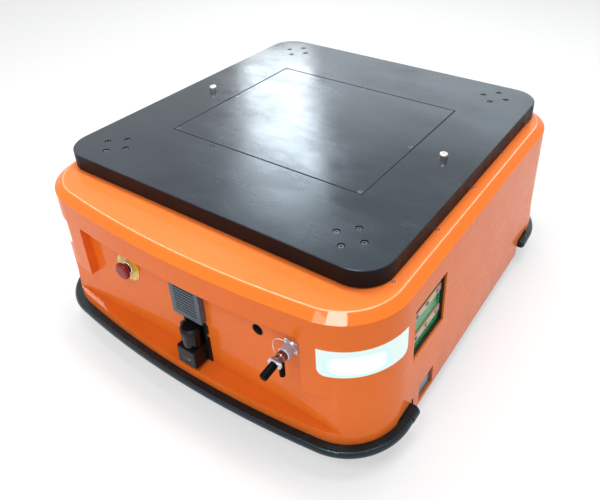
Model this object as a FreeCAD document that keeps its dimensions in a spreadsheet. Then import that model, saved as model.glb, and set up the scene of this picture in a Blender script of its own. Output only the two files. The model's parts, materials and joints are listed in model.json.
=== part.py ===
import FreeCAD, Part
import math
import os
import re
import Sketcher
from FreeCAD import Placement, Rotation, Vector

# Autonomous mobile robot: a low wheeled carrier with a flat steel load plate.
# Millimetres. The front faces -Y, +X is on the right as seen from the front, +Z is up.
# The origin is on the floor under the middle of the bumpers.

doc = FreeCAD.newDocument("mobile_robot")
sheet = doc.addObject("Spreadsheet::Sheet", "Sizes")

SIZES = [
    # load plate and the flush access panel in it
    ("plate_margin", 26.5), ("plate_length", 817), ("plate_rise", 36), ("plate_skin", 10),
    ("plate_wall", 6), ("plate_corner", 66), ("plate_edge", 1.5), ("plate_height", 415),
    ("plate_shift_x", -16), ("plate_shift_y", 34),
    ("panel_width", 507), ("panel_length", 423), ("panel_skin", 5), ("panel_gap", 1.4),
    ("panel_land", 20), ("panel_screw_inset_x", 7.5), ("panel_screw_inset_y", 6.5), ("panel_screw_head", 9),
    ("cluster_inset_x", 95), ("cluster_inset_y", 75.5), ("cluster_circle", 58), ("cluster_bore", 14),
    ("cluster_bore_depth", 7), ("cluster_head", 10.5), ("cluster_head_rise", 5.5),
    ("pin_inset", 75), ("pin_shift_x", 2), ("pin_shift_y", -7), ("pin_diameter", 19), ("pin_rise", 15),
    ("pin_taper", 5), ("pin_root", 9), ("pin_shank", 10), ("shank_clearance", 0.3), ("pin_seat", 1),
    ("pin_clearance", 0.2), ("pin_relief", 0.3),
    # painted housing
    ("cover_half_width", 426.5), ("cover_front", 480), ("cover_rear", 479), ("front_bow", 39.4),
    ("rear_bow", 20), ("cover_corner", 134), ("skirt_corner", 118), ("skirt_low", 90),
    ("skirt_high", 150), ("cover_wall", 4), ("ledge_drop", 40),
    ("band_width", 19), ("band_rise", 12.6), ("cover_clearance", 36), ("lip_height", 72.5),
    ("notch_front", 292), ("notch_rear", 280), ("notch_rise", 12), ("notch_depth", 2.6),
    ("notch_length", 62),
    ("ledge_width", 74.5), ("ledge_opening_y", 380), ("ledge_screw_inset", 38.5),
    ("ledge_screw_pitch", 168.5), ("ledge_screw_middle", 16), ("ledge_screw_head", 6.8),
    # front recess
    ("recess_left", 268), ("recess_right", 292), ("recess_top", 313), ("recess_inset", 34),
    ("chin_top", 188), ("chin_fold", 101), ("chin_edge", 94), ("recess_round", 10),
    # corner lamps, angles from straight ahead round the front corner
    ("lamp_low", 243), ("lamp_high", 304), ("lamp_start", 12.7), ("lamp_end", 88),
    ("lamp_depth", 10), ("lamp_round", 16), ("lamp_gap", 0.4),
    # bumpers
    ("bumper_radius", 10.5), ("bumper_height", 63), ("bumper_reach", 9), ("rear_bumper_reach", 4),
    ("bumper_flat", 16), ("bumper_crown", 9), ("bumper_cap", 27), ("bumper_cap_grow", 1),
    ("front_bumper_end", 326), ("rear_bumper_end", 316), ("carrier_thickness", 6), ("carrier_gap", 3),
    # chassis
    ("deck_height", 140), ("deck_thickness", 10), ("post_width", 70), ("post_wall", 10),
    ("rail_width", 34), ("rail_depth", 20), ("rail_inset", 26.5), ("side_rail_inset", 38.5),
    ("side_rail_thickness", 8), ("side_rail_low", 52),
    # drive units
    ("drive_wheel_radius", 100), ("drive_wheel_width", 56), ("wheel_inset", 83.5),
    ("drive_tyre", 20), ("well_width", 84), ("well_length", 228), ("gearbox_width", 88),
    ("gearbox_length", 66), ("gearbox_gap", 6), ("motor_diameter", 76), ("motor_length", 110),
    ("shaft_diameter", 26), ("shaft_entry", 16), ("running_fit", 0.06),
    # casters
    ("caster_inset", 138.5), ("caster_y", 318), ("caster_radius", 55), ("caster_width", 34),
    ("caster_trail", 35), ("caster_plate_width", 96), ("caster_plate_thickness", 6),
    ("caster_race", 52), ("caster_race_rise", 6), ("caster_leg", 5), ("caster_gap", 3.5),
    ("caster_axle", 12), ("king_pin", 14), ("seat_gap", 0.3), ("caster_crown", 8),
    # emergency stop
    ("stop_x", -155.6), ("stop_z", 248), ("stop_plate", 65), ("stop_plate_rise", 2),
    ("stop_collar", 30), ("stop_collar_rise", 3.5), ("stop_stem", 16), ("stop_cap", 38),
    ("stop_cap_rise", 10.5), ("stop_travel", 4), ("stop_bore", 22), ("stop_screws", 52),
    ("stop_block_width", 36), ("stop_block_depth", 34), ("stop_stem_entry", 8),
    # speaker, scanner, camera port
    ("speaker_x", 18), ("speaker_low", 209), ("speaker_width", 76), ("speaker_height", 92),
    ("speaker_rise", 13), ("speaker_slot", 3.4), ("speaker_pitch", 7.2), ("speaker_wall", 2.5),
    ("speaker_cone", 56),
    ("scanner_x", 22), ("scanner_low", 105), ("scanner_width", 48), ("scanner_front", 483),
    ("scanner_box", 42), ("scanner_window", 42), ("scanner_window_rise", 33), ("scanner_head", 43),
    ("scanner_head_rise", 13), ("scanner_gap", 1),
    ("bracket_x", 17.5), ("bracket_half", 39.5), ("bracket_low", 102),
    ("bracket_high", 206), ("bracket_sheet", 3), ("bracket_pocket", 12),
    ("port_x", 187.5), ("port_z", 262), ("port_diameter", 24), ("port_ring", 3), ("port_depth", 14),
    ("port_lining", 1.6),
    # service connector
    ("plug_x", 264), ("plug_z", 267), ("panel_hole_gap", 0.3), ("plug_flange", 28), ("plug_flange_rise", 3),
    ("plug_ring", 25), ("plug_ring_length", 18), ("plug_shell", 20), ("plug_shell_length", 20),
    ("plug_clamp_width", 27), ("plug_clamp_length", 5), ("plug_boot", 15), ("plug_boot_length", 31),
    ("plug_barrel", 20), ("plug_barrel_length", 16), ("plug_droop", 3.5), ("plug_branch", 10.5),
    ("plug_branch_length", 36), ("plug_wire", 1.8),
    # charging contacts in the side
    ("charge_y", -244), ("charge_drop", 120), ("charge_width", 124), ("charge_height", 122),
    ("charge_tray", 2), ("charge_board_back", 11),
    ("charge_strip_width", 17), ("charge_strip_rise", 3), ("charge_strip_split", 52),
    ("charge_strip_length", 114),
    ("charge_screw", 8), ("charge_screw_rise", 2.4), ("charge_screw_pitch", 40), ("charge_slot_pitch", 100),
    ("charge_slot_width", 7), ("charge_slot_height", 17),
    # side floor sensor
    ("sensor_y", -239), ("sensor_z", 68), ("sensor_width", 60), ("sensor_height", 47),
    ("sensor_back", 4),
    # inside
    ("battery_width", 380), ("battery_length", 300), ("battery_height", 190), ("battery_y", 60),
    ("controller_width", 300), ("controller_length", 120), ("controller_height", 150),
    ("controller_y", -200), ("controller_round", 6), ("battery_round", 8),
]
SIZES += [
    # sizes that follow from others
    ("plate_width", "=2 * (cover_half_width - plate_margin)"),
    ("panel_screw_x", "=panel_width / 2 - panel_screw_inset_x"),
    ("panel_screw_y", "=panel_length / 2 - panel_screw_inset_y"),
    ("cluster_x", "=plate_width / 2 - cluster_inset_x"),
    ("cluster_y", "=plate_length / 2 - cluster_inset_y"),
    ("pin_reach", "=plate_width / 2 - pin_inset"),
    ("ledge_height", "=plate_height - ledge_drop"),
    ("charge_z", "=plate_height - ledge_drop - charge_drop"),
    ("ledge_opening_x", "=cover_half_width - ledge_width"),
    ("ledge_screw_x", "=cover_half_width - ledge_screw_inset"),
    ("recess_depth_y", "=cover_front - recess_inset"),
    ("rail_reach", "=cover_half_width - rail_inset"),
    ("side_rail_x", "=cover_half_width - side_rail_inset"),
    ("drive_wheel_x", "=cover_half_width - wheel_inset"),
    ("caster_x", "=cover_half_width - caster_inset"),
]
for row, (alias, value) in enumerate(SIZES, start=1):
    sheet.set("A%d" % row, alias)
    sheet.set("B%d" % row, str(value))
    sheet.setAlias("B%d" % row, alias)
doc.recompute()


class Values:
    """The sheet's cells as plain numbers."""


s = Values()
for alias, value in SIZES:
    setattr(s, alias, float(sheet.get(alias)))

NAMES = re.compile(r"\b(" + "|".join(alias for alias, value in SIZES) + r")\b")
NODES = []


def drive(thing, field, formula):
    """Bind one property of an object to a formula of the sheet's cells."""
    thing.setExpression(field, NAMES.sub(r"Sizes.\1", str(formula)))


def keep(thing, node):
    """Name an object as a node that is written out."""
    thing.Label = node
    NODES.append((node, thing))
    return thing


def solid(node, shape):
    """A node whose shape is worked out here from the sheet's values."""
    thing = doc.addObject("Part::Feature", node)
    thing.Shape = shape
    return keep(thing, node)


# ---------------------------------------------------------------- sketches and features

AXES = {"XY": "XY_Plane", "XZ": "XZ_Plane", "YZ": "YZ_Plane"}


def sketch_on(body, plane, across="0", up="0", lift="0"):
    """A sketch on one of the body's own planes, shifted by formulas along its three directions."""
    sketch = body.newObject("Sketcher::SketchObject", "Sketch")
    for feature in body.Origin.OriginFeatures:
        if feature.Role == AXES[plane]:
            sketch.AttachmentSupport = [(feature, "")]
    sketch.MapMode = "FlatFace"
    drive(sketch, "AttachmentOffset.Base.x", across)
    drive(sketch, "AttachmentOffset.Base.y", up)
    drive(sketch, "AttachmentOffset.Base.z", lift)
    return sketch


def rule(sketch, constraint, name=None, formula=None):
    """Add a constraint and bind it to the sheet."""
    index = sketch.addConstraint(constraint)
    if name:
        sketch.renameConstraint(index, name)
        drive(sketch, "Constraints." + name, formula)


def rectangle(sketch, wide, high):
    """A rectangle centred on the sketch's origin."""
    corners = [Vector(-10, -5, 0), Vector(10, -5, 0), Vector(10, 5, 0), Vector(-10, 5, 0)]
    first = sketch.GeometryCount
    for i in range(4):
        sketch.addGeometry(Part.LineSegment(corners[i], corners[(i + 1) % 4]), False)
    for i in range(4):
        rule(sketch, Sketcher.Constraint("Coincident", first + i, 2, first + (i + 1) % 4, 1))
    for i, kind in enumerate(["Horizontal", "Vertical", "Horizontal", "Vertical"]):
        rule(sketch, Sketcher.Constraint(kind, first + i))
    rule(sketch, Sketcher.Constraint("Symmetric", first, 1, first + 1, 2, -1, 1))
    rule(sketch, Sketcher.Constraint("DistanceX", first, 1, first, 2, 20.0), "wide", wide)
    rule(sketch, Sketcher.Constraint("DistanceY", first + 1, 1, first + 1, 2, 10.0), "high", high)


def circle(sketch, diameter):
    """A circle centred on the sketch's origin."""
    sketch.addGeometry(Part.Circle(Vector(0, 0, 0), Vector(0, 0, 1), 5.0), False)
    first = sketch.GeometryCount - 1
    rule(sketch, Sketcher.Constraint("Coincident", first, 3, -1, 1))
    rule(sketch, Sketcher.Constraint("Diameter", first, 10.0), "across", diameter)


def outline(sketch, points):
    """A closed outline through points already worked out."""
    first = sketch.GeometryCount
    count = len(points)
    for i in range(count):
        a = Vector(points[i][0], points[i][1], 0)
        b = Vector(points[(i + 1) % count][0], points[(i + 1) % count][1], 0)
        sketch.addGeometry(Part.LineSegment(a, b), False)
    for i in range(count):
        rule(sketch, Sketcher.Constraint("Coincident", first + i, 2, first + (i + 1) % count, 1))


def rounded(sketch, wide, high, radius):
    """A rectangle with round corners, centred on the sketch's origin."""
    across = wide / 2 - radius
    up = high / 2 - radius
    quarter = math.pi / 2
    for k, (a, b) in enumerate([(1, 1), (-1, 1), (-1, -1), (1, -1)]):
        corner = Part.Circle(Vector(a * across, b * up, 0), Vector(0, 0, 1), radius)
        arc = Part.ArcOfCircle(corner, k * quarter, (k + 1) * quarter)
        nxt = [(-1, 1), (-1, -1), (1, -1), (1, 1)][k]
        end = Vector(nxt[0] * across, nxt[1] * up, 0)
        end += Vector(math.cos((k + 1) * quarter), math.sin((k + 1) * quarter), 0) * radius
        sketch.addGeometry(arc, False)
        sketch.addGeometry(Part.LineSegment(arc.EndPoint, end), False)
    for i in range(8):
        rule(sketch, Sketcher.Constraint("Coincident", i, 2, (i + 1) % 8, 1))


def extrude(kind, body, sketch, length, back=False, middle=False):
    """A pad or pocket of a sketch."""
    feature = body.newObject("PartDesign::" + kind, kind)
    feature.Profile = sketch
    feature.Reversed = back
    feature.Midplane = middle
    drive(feature, "Length", length)
    sketch.Visibility = False
    doc.recompute()
    return feature


def edges(shape, test):
    """Names of the edges that pass a test."""
    return ["Edge%d" % n for n, edge in enumerate(shape.Edges, start=1) if test(edge)]


def straight_along(direction):
    """A test for straight edges that run one way."""
    return lambda edge: (isinstance(edge.Curve, Part.Line)
                         and abs(edge.Curve.Direction.dot(direction)) > 0.999)


def level_at(height):
    """A test for edges in one level plane."""
    return lambda edge: (abs(edge.BoundBox.ZMin - height) < 0.01
                         and abs(edge.BoundBox.ZMax - height) < 0.01)


def across_at(reach):
    """A test for edges in one plane square to the front."""
    return lambda edge: (abs(edge.BoundBox.YMin - reach) < 0.01
                         and abs(edge.BoundBox.YMax - reach) < 0.01)


def ease(kind, body, base, names, amount):
    """A fillet or chamfer on named edges."""
    feature = body.newObject("PartDesign::" + kind, kind)
    feature.Base = (base, names)
    drive(feature, "Radius" if kind == "Fillet" else "Size", amount)
    doc.recompute()
    return feature


def new_body(node, kept=True):
    body = doc.addObject("PartDesign::Body", node)
    return keep(body, node) if kept else body


def block(node, wide, deep, high, x="0", y="0", z="0", rounded=None, kept=True):
    """A box standing on z, centred on x and y, its upright edges rounded."""
    body = new_body(node, kept)
    sketch = sketch_on(body, "XY", x, y, z)
    rectangle(sketch, wide, deep)
    feature = extrude("Pad", body, sketch, high)
    if rounded:
        names = edges(feature.Shape, straight_along(Vector(0, 0, 1)))
        ease("Fillet", body, feature, names, rounded)
    return body


def turned(node, points, place, direction, kept=True):
    """A body turned from an outline of (radius, distance) points about its own Z, then put in place."""
    body = new_body(node, kept)
    sketch = sketch_on(body, "XZ")
    outline(sketch, points)
    feature = body.newObject("PartDesign::Revolution", "Revolution")
    feature.Profile = sketch
    feature.ReferenceAxis = (sketch, ["V_Axis"])
    feature.Angle = 360
    sketch.Visibility = False
    body.Placement = Placement(place, Rotation(Vector(0, 0, 1), direction))
    doc.recompute()
    return body


FRONT = Vector(0, -1, 0)
UP = Vector(0, 0, 1)
ACROSS = Vector(1, 0, 0)


def copies(node, shape, spots):
    """Several separate solids of one shape in one node."""
    made = []
    for spot in spots:
        one = shape.copy()
        one.translate(spot)
        made.append(one)
    return solid(node, Part.makeCompound(made))


def cut_from(node, main, tools):
    """A node that is one object less several others."""
    made = doc.addObject("Part::Cut", node)
    tool = tools[0]
    if len(tools) > 1:
        tool = doc.addObject("Part::MultiFuse", node + "_tools")
        tool.Shapes = tools
    made.Base = main
    made.Tool = tool
    doc.recompute()
    return keep(made, node)


def screw_shape(head, rise, socket, direction):
    """A socket screw head with a hexagon recess, its seat at the origin."""
    body = Part.makeCylinder(head / 2, rise, Vector(0, 0, 0), direction)
    corners = []
    flat = Rotation(Vector(0, 0, 1), direction)
    for i in range(7):
        angle = math.radians(60 * i)
        corners.append(flat.multVec(Vector(socket * math.cos(angle), socket * math.sin(angle), rise * 0.45)))
    recess = Part.Face(Part.makePolygon(corners)).extrude(direction * rise)
    return body.cut(recess)


# ---------------------------------------------------------------- plan outline of the housing

FRONT_RADIUS = (s.cover_half_width ** 2 + s.front_bow ** 2) / (2 * s.front_bow)
REAR_RADIUS = (s.cover_half_width ** 2 + s.rear_bow ** 2) / (2 * s.rear_bow)
FRONT_CENTRE_Y = -s.cover_front + FRONT_RADIUS
REAR_CENTRE_Y = s.cover_rear - REAR_RADIUS


class Corners:
    """Where the round corners sit and how far the front and rear arcs sweep, for one corner radius."""

    def __init__(self, radius):
        self.radius = radius
        self.x = s.cover_half_width - radius
        self.front = FRONT_CENTRE_Y - math.sqrt((FRONT_RADIUS - radius) ** 2 - self.x ** 2)
        self.rear = REAR_CENTRE_Y + math.sqrt((REAR_RADIUS - radius) ** 2 - self.x ** 2)
        self.front_sweep = math.atan2(self.x, FRONT_CENTRE_Y - self.front)
        self.rear_sweep = math.atan2(self.x, self.rear - REAR_CENTRE_Y)


UPPER = Corners(s.cover_corner)
SKIRT = Corners(s.skirt_corner)


def ring_point(cx, cy, radius, angle, z):
    """A point on a circle, its angle taken from straight ahead (-Y) towards +X."""
    return Vector(cx + radius * math.sin(angle), cy - radius * math.cos(angle), z)


def ring_arc(cx, cy, radius, start, end, z):
    middle = (start + end) / 2
    return Part.Arc(ring_point(cx, cy, radius, start, z), ring_point(cx, cy, radius, middle, z),
                    ring_point(cx, cy, radius, end, z)).toShape()


def plan(inset, z, at):
    """The housing's plan outline, moved inward, as one closed wire."""
    corner = at.radius - inset
    side = s.cover_half_width - inset
    quarter = math.pi / 2
    ahead = at.front_sweep
    back = at.rear_sweep
    parts = [
        ring_arc(0, FRONT_CENTRE_Y, FRONT_RADIUS - inset, -ahead, ahead, z),
        ring_arc(at.x, at.front, corner, ahead, quarter, z),
        Part.makeLine(Vector(side, at.front, z), Vector(side, at.rear, z)),
        ring_arc(at.x, at.rear, corner, quarter, math.pi - back, z),
        ring_arc(0, REAR_CENTRE_Y, REAR_RADIUS - inset, math.pi - back, math.pi + back, z),
        ring_arc(-at.x, at.rear, corner, math.pi + back, 3 * quarter, z),
        Part.makeLine(Vector(-side, at.rear, z), Vector(-side, at.front, z)),
        ring_arc(-at.x, at.front, corner, -quarter, -ahead, z),
    ]
    return Part.Wire(parts)


def slab(inset, low, high, at):
    """The plan outline as a solid between two heights."""
    return Part.Face(plan(inset, low, at)).extrude(Vector(0, 0, high - low))


def box_between(low, high):
    return Part.makeBox(high[0] - low[0], high[1] - low[1], high[2] - low[2], Vector(*low))


FAR = 2000.0


def ahead_of(y, low=-FAR, high=FAR):
    """All space in front of a plane."""
    return box_between((-FAR, -FAR, low), (FAR, y, high))


def behind(y, low=-FAR, high=FAR):
    return box_between((-FAR, y, low), (FAR, FAR, high))


def recess_tool(grow):
    """What is taken out of the front: a window under the brow and a full-width chin below it."""
    back = -s.recess_depth_y + grow
    window = box_between((-s.recess_left - grow, -FAR / 2, s.chin_top - 20), (s.recess_right + grow, back, s.recess_top + grow))
    top = [e for e in window.Edges if straight_along(Vector(0, 1, 0))(e) and e.BoundBox.ZMin > s.recess_top - 1]
    window = window.makeFillet(s.recess_round + grow, top)
    front = -s.cover_front - 60
    drop = (s.chin_fold - s.chin_edge) / (s.cover_front - s.recess_depth_y)
    fold = s.chin_fold - grow
    side = [Vector(0, back, s.chin_top + grow), Vector(0, back, fold),
            Vector(0, front, fold - drop * (back - front)), Vector(0, front, s.chin_top + grow)]
    face = Part.Face(Part.makePolygon(side + side[:1]))
    face.translate(Vector(-FAR / 2, 0, 0))
    return window.fuse(face.extrude(Vector(FAR, 0, 0)))


def housing_form(inset):
    """The outer form, or the space inside it when inset by the wall."""
    top = s.ledge_height - inset
    band = top - s.band_rise
    body = slab(inset, 0, s.skirt_low, SKIRT)
    change = Part.makeLoft([plan(inset, s.skirt_low, SKIRT), plan(inset, s.skirt_high, UPPER)], True, True)
    rim = Part.makeLoft([plan(inset, band, UPPER), plan(inset + s.band_width, top, UPPER)], True, True)
    return body.fuse([change, slab(inset, s.skirt_high, band, UPPER), rim])


# ---------------------------------------------------------------- load plate

plate_body = new_body("top_plate")
sketch = sketch_on(plate_body, "XY", "plate_shift_x", "plate_shift_y", "plate_height - plate_rise")
rectangle(sketch, "plate_width", "plate_length")
plate = extrude("Pad", plate_body, sketch, "plate_rise")
plate = ease("Fillet", plate_body, plate, edges(plate.Shape, straight_along(UP)), "plate_corner")
plate = ease("Chamfer", plate_body, plate, edges(plate.Shape, level_at(s.plate_height)), "plate_edge")
sketch = sketch_on(plate_body, "XY", "plate_shift_x", "plate_shift_y", "plate_height - plate_rise")
rounded(sketch, s.plate_width - 2 * s.plate_wall, s.plate_length - 2 * s.plate_wall, s.plate_corner - s.plate_wall)
extrude("Pocket", plate_body, sketch, "plate_rise - plate_skin", back=True)
sketch = sketch_on(plate_body, "XY", "plate_shift_x", "plate_shift_y", "plate_height")
rectangle(sketch, "panel_width + 2 * panel_gap", "panel_length + 2 * panel_gap")
plate = extrude("Pocket", plate_body, sketch, "panel_skin")
sketch = sketch_on(plate_body, "XY", "plate_shift_x", "plate_shift_y", "plate_height")
rectangle(sketch, "panel_width - 2 * panel_land", "panel_length - 2 * panel_land")
plate = extrude("Pocket", plate_body, sketch, "plate_skin")

CLUSTERS = [(sx * s.cluster_x, sy * s.cluster_y) for sx in (-1, 1) for sy in (-1, 1)]
AROUND = [(1, 0), (0, 1), (-1, 0), (0, -1)]
CLUSTER_SCREWS = [Vector(s.plate_shift_x + cx + ax * s.cluster_circle / 2, s.plate_shift_y + cy + ay * s.cluster_circle / 2, 0)
                  for cx, cy in CLUSTERS for ax, ay in AROUND]
PINS = [Vector(s.plate_shift_x + s.pin_shift_x + side * s.pin_reach, s.plate_shift_y + s.pin_shift_y, s.plate_height)
        for side in (-1, 1)]


def drill(body, spots, wide, depth):
    """Round holes from the plate's top at several spots."""
    sketch = sketch_on(body, "XY", lift="plate_height")
    for spot in spots:
        sketch.addGeometry(Part.Circle(Vector(spot.x, spot.y, 0), Vector(0, 0, 1), wide / 2), False)
    return extrude("Pocket", body, sketch, depth)


drill(plate_body, CLUSTER_SCREWS, s.cluster_bore, "cluster_bore_depth")
drill(plate_body, PINS, s.pin_diameter + 2 * s.pin_clearance, "pin_seat")
drill(plate_body, PINS, s.pin_shank + 2 * s.shank_clearance, "pin_root")
panel_front = s.plate_shift_y - s.panel_length / 2
LIFT_HOLES = [Vector(s.plate_shift_x - s.panel_width / 4 + shift, panel_front - 13, 0) for shift in (0, 9)]
drill(plate_body, LIFT_HOLES, 3.6, "cluster_bore_depth")

panel_body = block("access_panel", "panel_width", "panel_length", "panel_skin", "plate_shift_x", "plate_shift_y",
                   "plate_height - panel_skin")
PANEL_SCREWS = [Vector(s.plate_shift_x + a * s.panel_screw_x, s.plate_shift_y + b * s.panel_screw_y, s.plate_height)
                for a in (-1, 0, 1) for b in (-1, 0, 1) if (a, b) != (0, 0)]
sketch = sketch_on(panel_body, "XY", lift="plate_height")
for spot in PANEL_SCREWS:
    sketch.addGeometry(Part.Circle(Vector(spot.x, spot.y, 0), Vector(0, 0, 1), s.panel_screw_head / 2), False)
extrude("Pocket", panel_body, sketch, "panel_skin / 2")
flush = screw_shape(s.panel_screw_head, s.panel_skin / 2, s.panel_screw_head / 4, UP)
copies("access_panel_screws", flush, [spot - Vector(0, 0, s.panel_skin / 2) for spot in PANEL_SCREWS])

head = screw_shape(s.cluster_head, s.cluster_head_rise, s.cluster_head / 3.4, UP)
seat = Vector(0, 0, s.plate_height - s.cluster_bore_depth)
copies("plate_mount_screws", head, [spot + seat for spot in CLUSTER_SCREWS])

r = s.pin_diameter / 2
shank = s.pin_shank / 2
crown = s.pin_rise - s.pin_taper
pin = turned("PinForm", [(0, -s.pin_root), (shank, -s.pin_root), (shank, -s.pin_seat),
                         (r - s.pin_relief, -s.pin_seat), (r - s.pin_relief, 0), (r, 0), (r, crown),
                         (r * 0.92, crown + s.pin_taper * 0.5), (r * 0.74, crown + s.pin_taper * 0.82),
                         (r * 0.45, s.pin_rise), (0, s.pin_rise)], Vector(0, 0, 0), UP, kept=False)
copies("locating_pins", pin.Shape, PINS)

# ---------------------------------------------------------------- painted housing

outer_shape = housing_form(0).cut(recess_tool(0))
inner_shape = housing_form(s.cover_wall).cut(recess_tool(s.cover_wall))
cover_shape = outer_shape.cut(inner_shape)
opening = box_between((s.plate_shift_x - s.ledge_opening_x, s.plate_shift_y - s.ledge_opening_y, s.lip_height),
                      (s.plate_shift_x + s.ledge_opening_x, s.plate_shift_y + s.ledge_opening_y, FAR))
below = box_between((-FAR, -FAR, -FAR), (FAR, FAR, s.cover_clearance))
cover_shape = cover_shape.cut(opening).cut(below)
cover_shape = cover_shape.cut(ahead_of(-s.notch_front, -FAR, s.lip_height)).cut(behind(s.notch_rear, -FAR, s.lip_height))


def notch(side, end, toward):
    """A shallow round-cornered hollow in the side wall above one end of a bumper."""
    skin = side * (s.cover_half_width - s.notch_depth)
    y = sorted([end, end + toward * s.notch_length])
    x = sorted([skin, skin + side * 20])
    hollow = box_between((x[0], y[0], s.bumper_height), (x[1], y[1], s.lip_height + s.notch_rise))
    top = [e for e in hollow.Edges if straight_along(ACROSS)(e) and e.BoundBox.ZMin > s.lip_height]
    return hollow.makeFillet(s.notch_rise - 1, top)


for side in (-1, 1):
    cover_shape = cover_shape.cut(notch(side, -s.notch_front, -1)).cut(notch(side, s.notch_rear, 1))


def lamp(side, grow=0):
    """A lamp that fills part of a front corner, its outer face flush with the housing, or its opening when grown."""
    inside = s.cover_corner - s.lamp_depth - grow
    outside = s.cover_corner + grow
    spread = math.degrees(grow / s.cover_corner)
    middle = Vector(side * UPPER.x, UPPER.front, 0)
    start = math.radians(s.lamp_start - spread)
    bottom = s.lamp_low - grow
    low = [ring_point(middle.x, middle.y, radius, side * start, bottom) for radius in (inside, outside)]
    high = [Vector(p.x, p.y, s.lamp_high + grow) for p in reversed(low)]
    face = Part.Face(Part.makePolygon(low + high + low[:1]))
    body = face.revolve(middle, UP, side * (s.lamp_end - s.lamp_start + 2 * spread))
    radial = []
    for edge in body.Edges:
        if isinstance(edge.Curve, Part.Line) and abs(edge.Curve.Direction.z) < 0.01:
            if abs(edge.CenterOfMass.z - bottom) < 0.01:
                radial.append(edge)
    return body.makeFillet(s.lamp_round + grow, radial)


solid("corner_lamp_left", lamp(-1))
solid("corner_lamp_right", lamp(1))


SCANNER_TOP = (s.scanner_low + s.scanner_box + s.scanner_window_rise + s.scanner_head_rise + s.scanner_gap
               + s.bracket_sheet)
SPEAKER_Z = s.speaker_low + s.speaker_height / 2


def front_hole(x, z, wide):
    """A round hole through the recessed front panel."""
    return Part.makeCylinder(wide / 2, 40, Vector(x, -s.recess_depth_y - 20, z), Vector(0, 1, 0))


def side_window(y, z, wide, high):
    """A window through the right side wall, its corners slightly rounded."""
    window = box_between((s.cover_half_width - 10, y - wide / 2, z - high / 2),
                         (s.cover_half_width + 10, y + wide / 2, z + high / 2))
    return window.makeFillet(2, [e for e in window.Edges if straight_along(ACROSS)(e)])


pocket_half = s.scanner_width / 2 + s.bracket_sheet
scanner_back = -s.recess_depth_y + s.bracket_pocket
scanner_opening = box_between((s.scanner_x - pocket_half, -s.recess_depth_y - 10, s.scanner_low - s.bracket_sheet),
                              (s.scanner_x + pocket_half, scanner_back + s.bracket_sheet, SCANNER_TOP))
window_tools = [lamp(1, s.lamp_gap), lamp(-1, s.lamp_gap), scanner_opening,
                side_window(s.charge_y, s.charge_z, s.charge_width, s.charge_height),
                side_window(s.sensor_y, s.sensor_z, s.sensor_width, s.sensor_height),
                front_hole(s.stop_x, s.stop_z, s.stop_bore),
                front_hole(s.port_x, s.port_z, s.port_diameter + 2 * s.panel_hole_gap),
                front_hole(s.plug_x, s.plug_z, s.plug_barrel + 2 * s.panel_hole_gap),
                front_hole(s.speaker_x, SPEAKER_Z, s.speaker_cone)]
for tool in window_tools:
    cover_shape = cover_shape.cut(tool)
solid("body_cover", cover_shape)

LEDGE_SCREWS = [Vector(side * s.ledge_screw_x, s.ledge_screw_middle + k * s.ledge_screw_pitch, s.ledge_height)
                for side in (-1, 1) for k in (-2, -1, 0, 1, 2)]
copies("cover_screws", screw_shape(s.ledge_screw_head, 2.2, s.ledge_screw_head / 4, UP), LEDGE_SCREWS)

# ---------------------------------------------------------------- bumpers


def bumper_profile(reach, y, grow=0):
    """The bumper's section on the right side: a round rubber nose, a flat back and a flat top under the housing."""
    radius = s.bumper_radius + grow
    centre = Vector(s.cover_half_width + reach, y, s.bumper_height)
    top = Vector(math.sqrt(radius ** 2 - s.bumper_crown ** 2), 0, s.bumper_crown)
    nose = Vector(radius, 0, 0)
    low = Vector(0, 0, -radius)
    curve = Part.Arc(centre + low, centre + nose, centre + top).toShape()
    inner = s.cover_half_width - s.bumper_flat
    back = [Vector(inner, y, s.bumper_height + s.bumper_crown), Vector(inner, y, s.bumper_height - radius)]
    return Part.Wire([curve, Part.makeLine(centre + top, back[0]), Part.makeLine(back[0], back[1]),
                      Part.makeLine(back[1], centre + low)])


def bumper(end, reach, at, front):
    """One bumper swept round its end of the housing."""
    z = s.bumper_height
    quarter = math.pi / 2
    wide = s.cover_half_width + reach
    corner = at.radius + reach
    if front:
        y = at.front
        middle = [ring_arc(at.x, at.front, corner, quarter, at.front_sweep, z),
                  ring_arc(0, FRONT_CENTRE_Y, FRONT_RADIUS + reach, at.front_sweep, -at.front_sweep, z),
                  ring_arc(-at.x, at.front, corner, -at.front_sweep, -quarter, z)]
    else:
        y = at.rear
        turn = math.pi - at.rear_sweep
        middle = [ring_arc(at.x, at.rear, corner, quarter, turn, z),
                  ring_arc(0, REAR_CENTRE_Y, REAR_RADIUS + reach, turn, 2 * math.pi - turn, z),
                  ring_arc(-at.x, at.rear, corner, 2 * math.pi - turn, 3 * quarter, z)]
    path = [Part.makeLine(Vector(wide, end, z), Vector(wide, y, z))] + middle
    path.append(Part.makeLine(Vector(-wide, y, z), Vector(-wide, end, z)))
    return Part.Wire(path).makePipeShell([bumper_profile(reach, end)], True, True)


solid("front_bumper", bumper(-s.front_bumper_end, s.bumper_reach, SKIRT, True))
solid("rear_bumper", bumper(s.rear_bumper_end, s.rear_bumper_reach, UPPER, False))


def end_cap(side, y, toward, reach):
    """A short cap that closes one end of a bumper, a little fuller than it, its far rim rounded."""
    face = Part.Face(bumper_profile(reach, y, s.bumper_cap_grow))
    cap = face.extrude(Vector(0, toward * s.bumper_cap, 0))
    far = y + toward * s.bumper_cap
    rim = [e for e in cap.Edges if across_at(far)(e) and not isinstance(e.Curve, Part.Line)]
    cap = cap.makeFillet(s.bumper_radius / 2, rim)
    if side < 0:
        cap = cap.mirror(Vector(0, 0, 0), ACROSS)
    return cap


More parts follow.
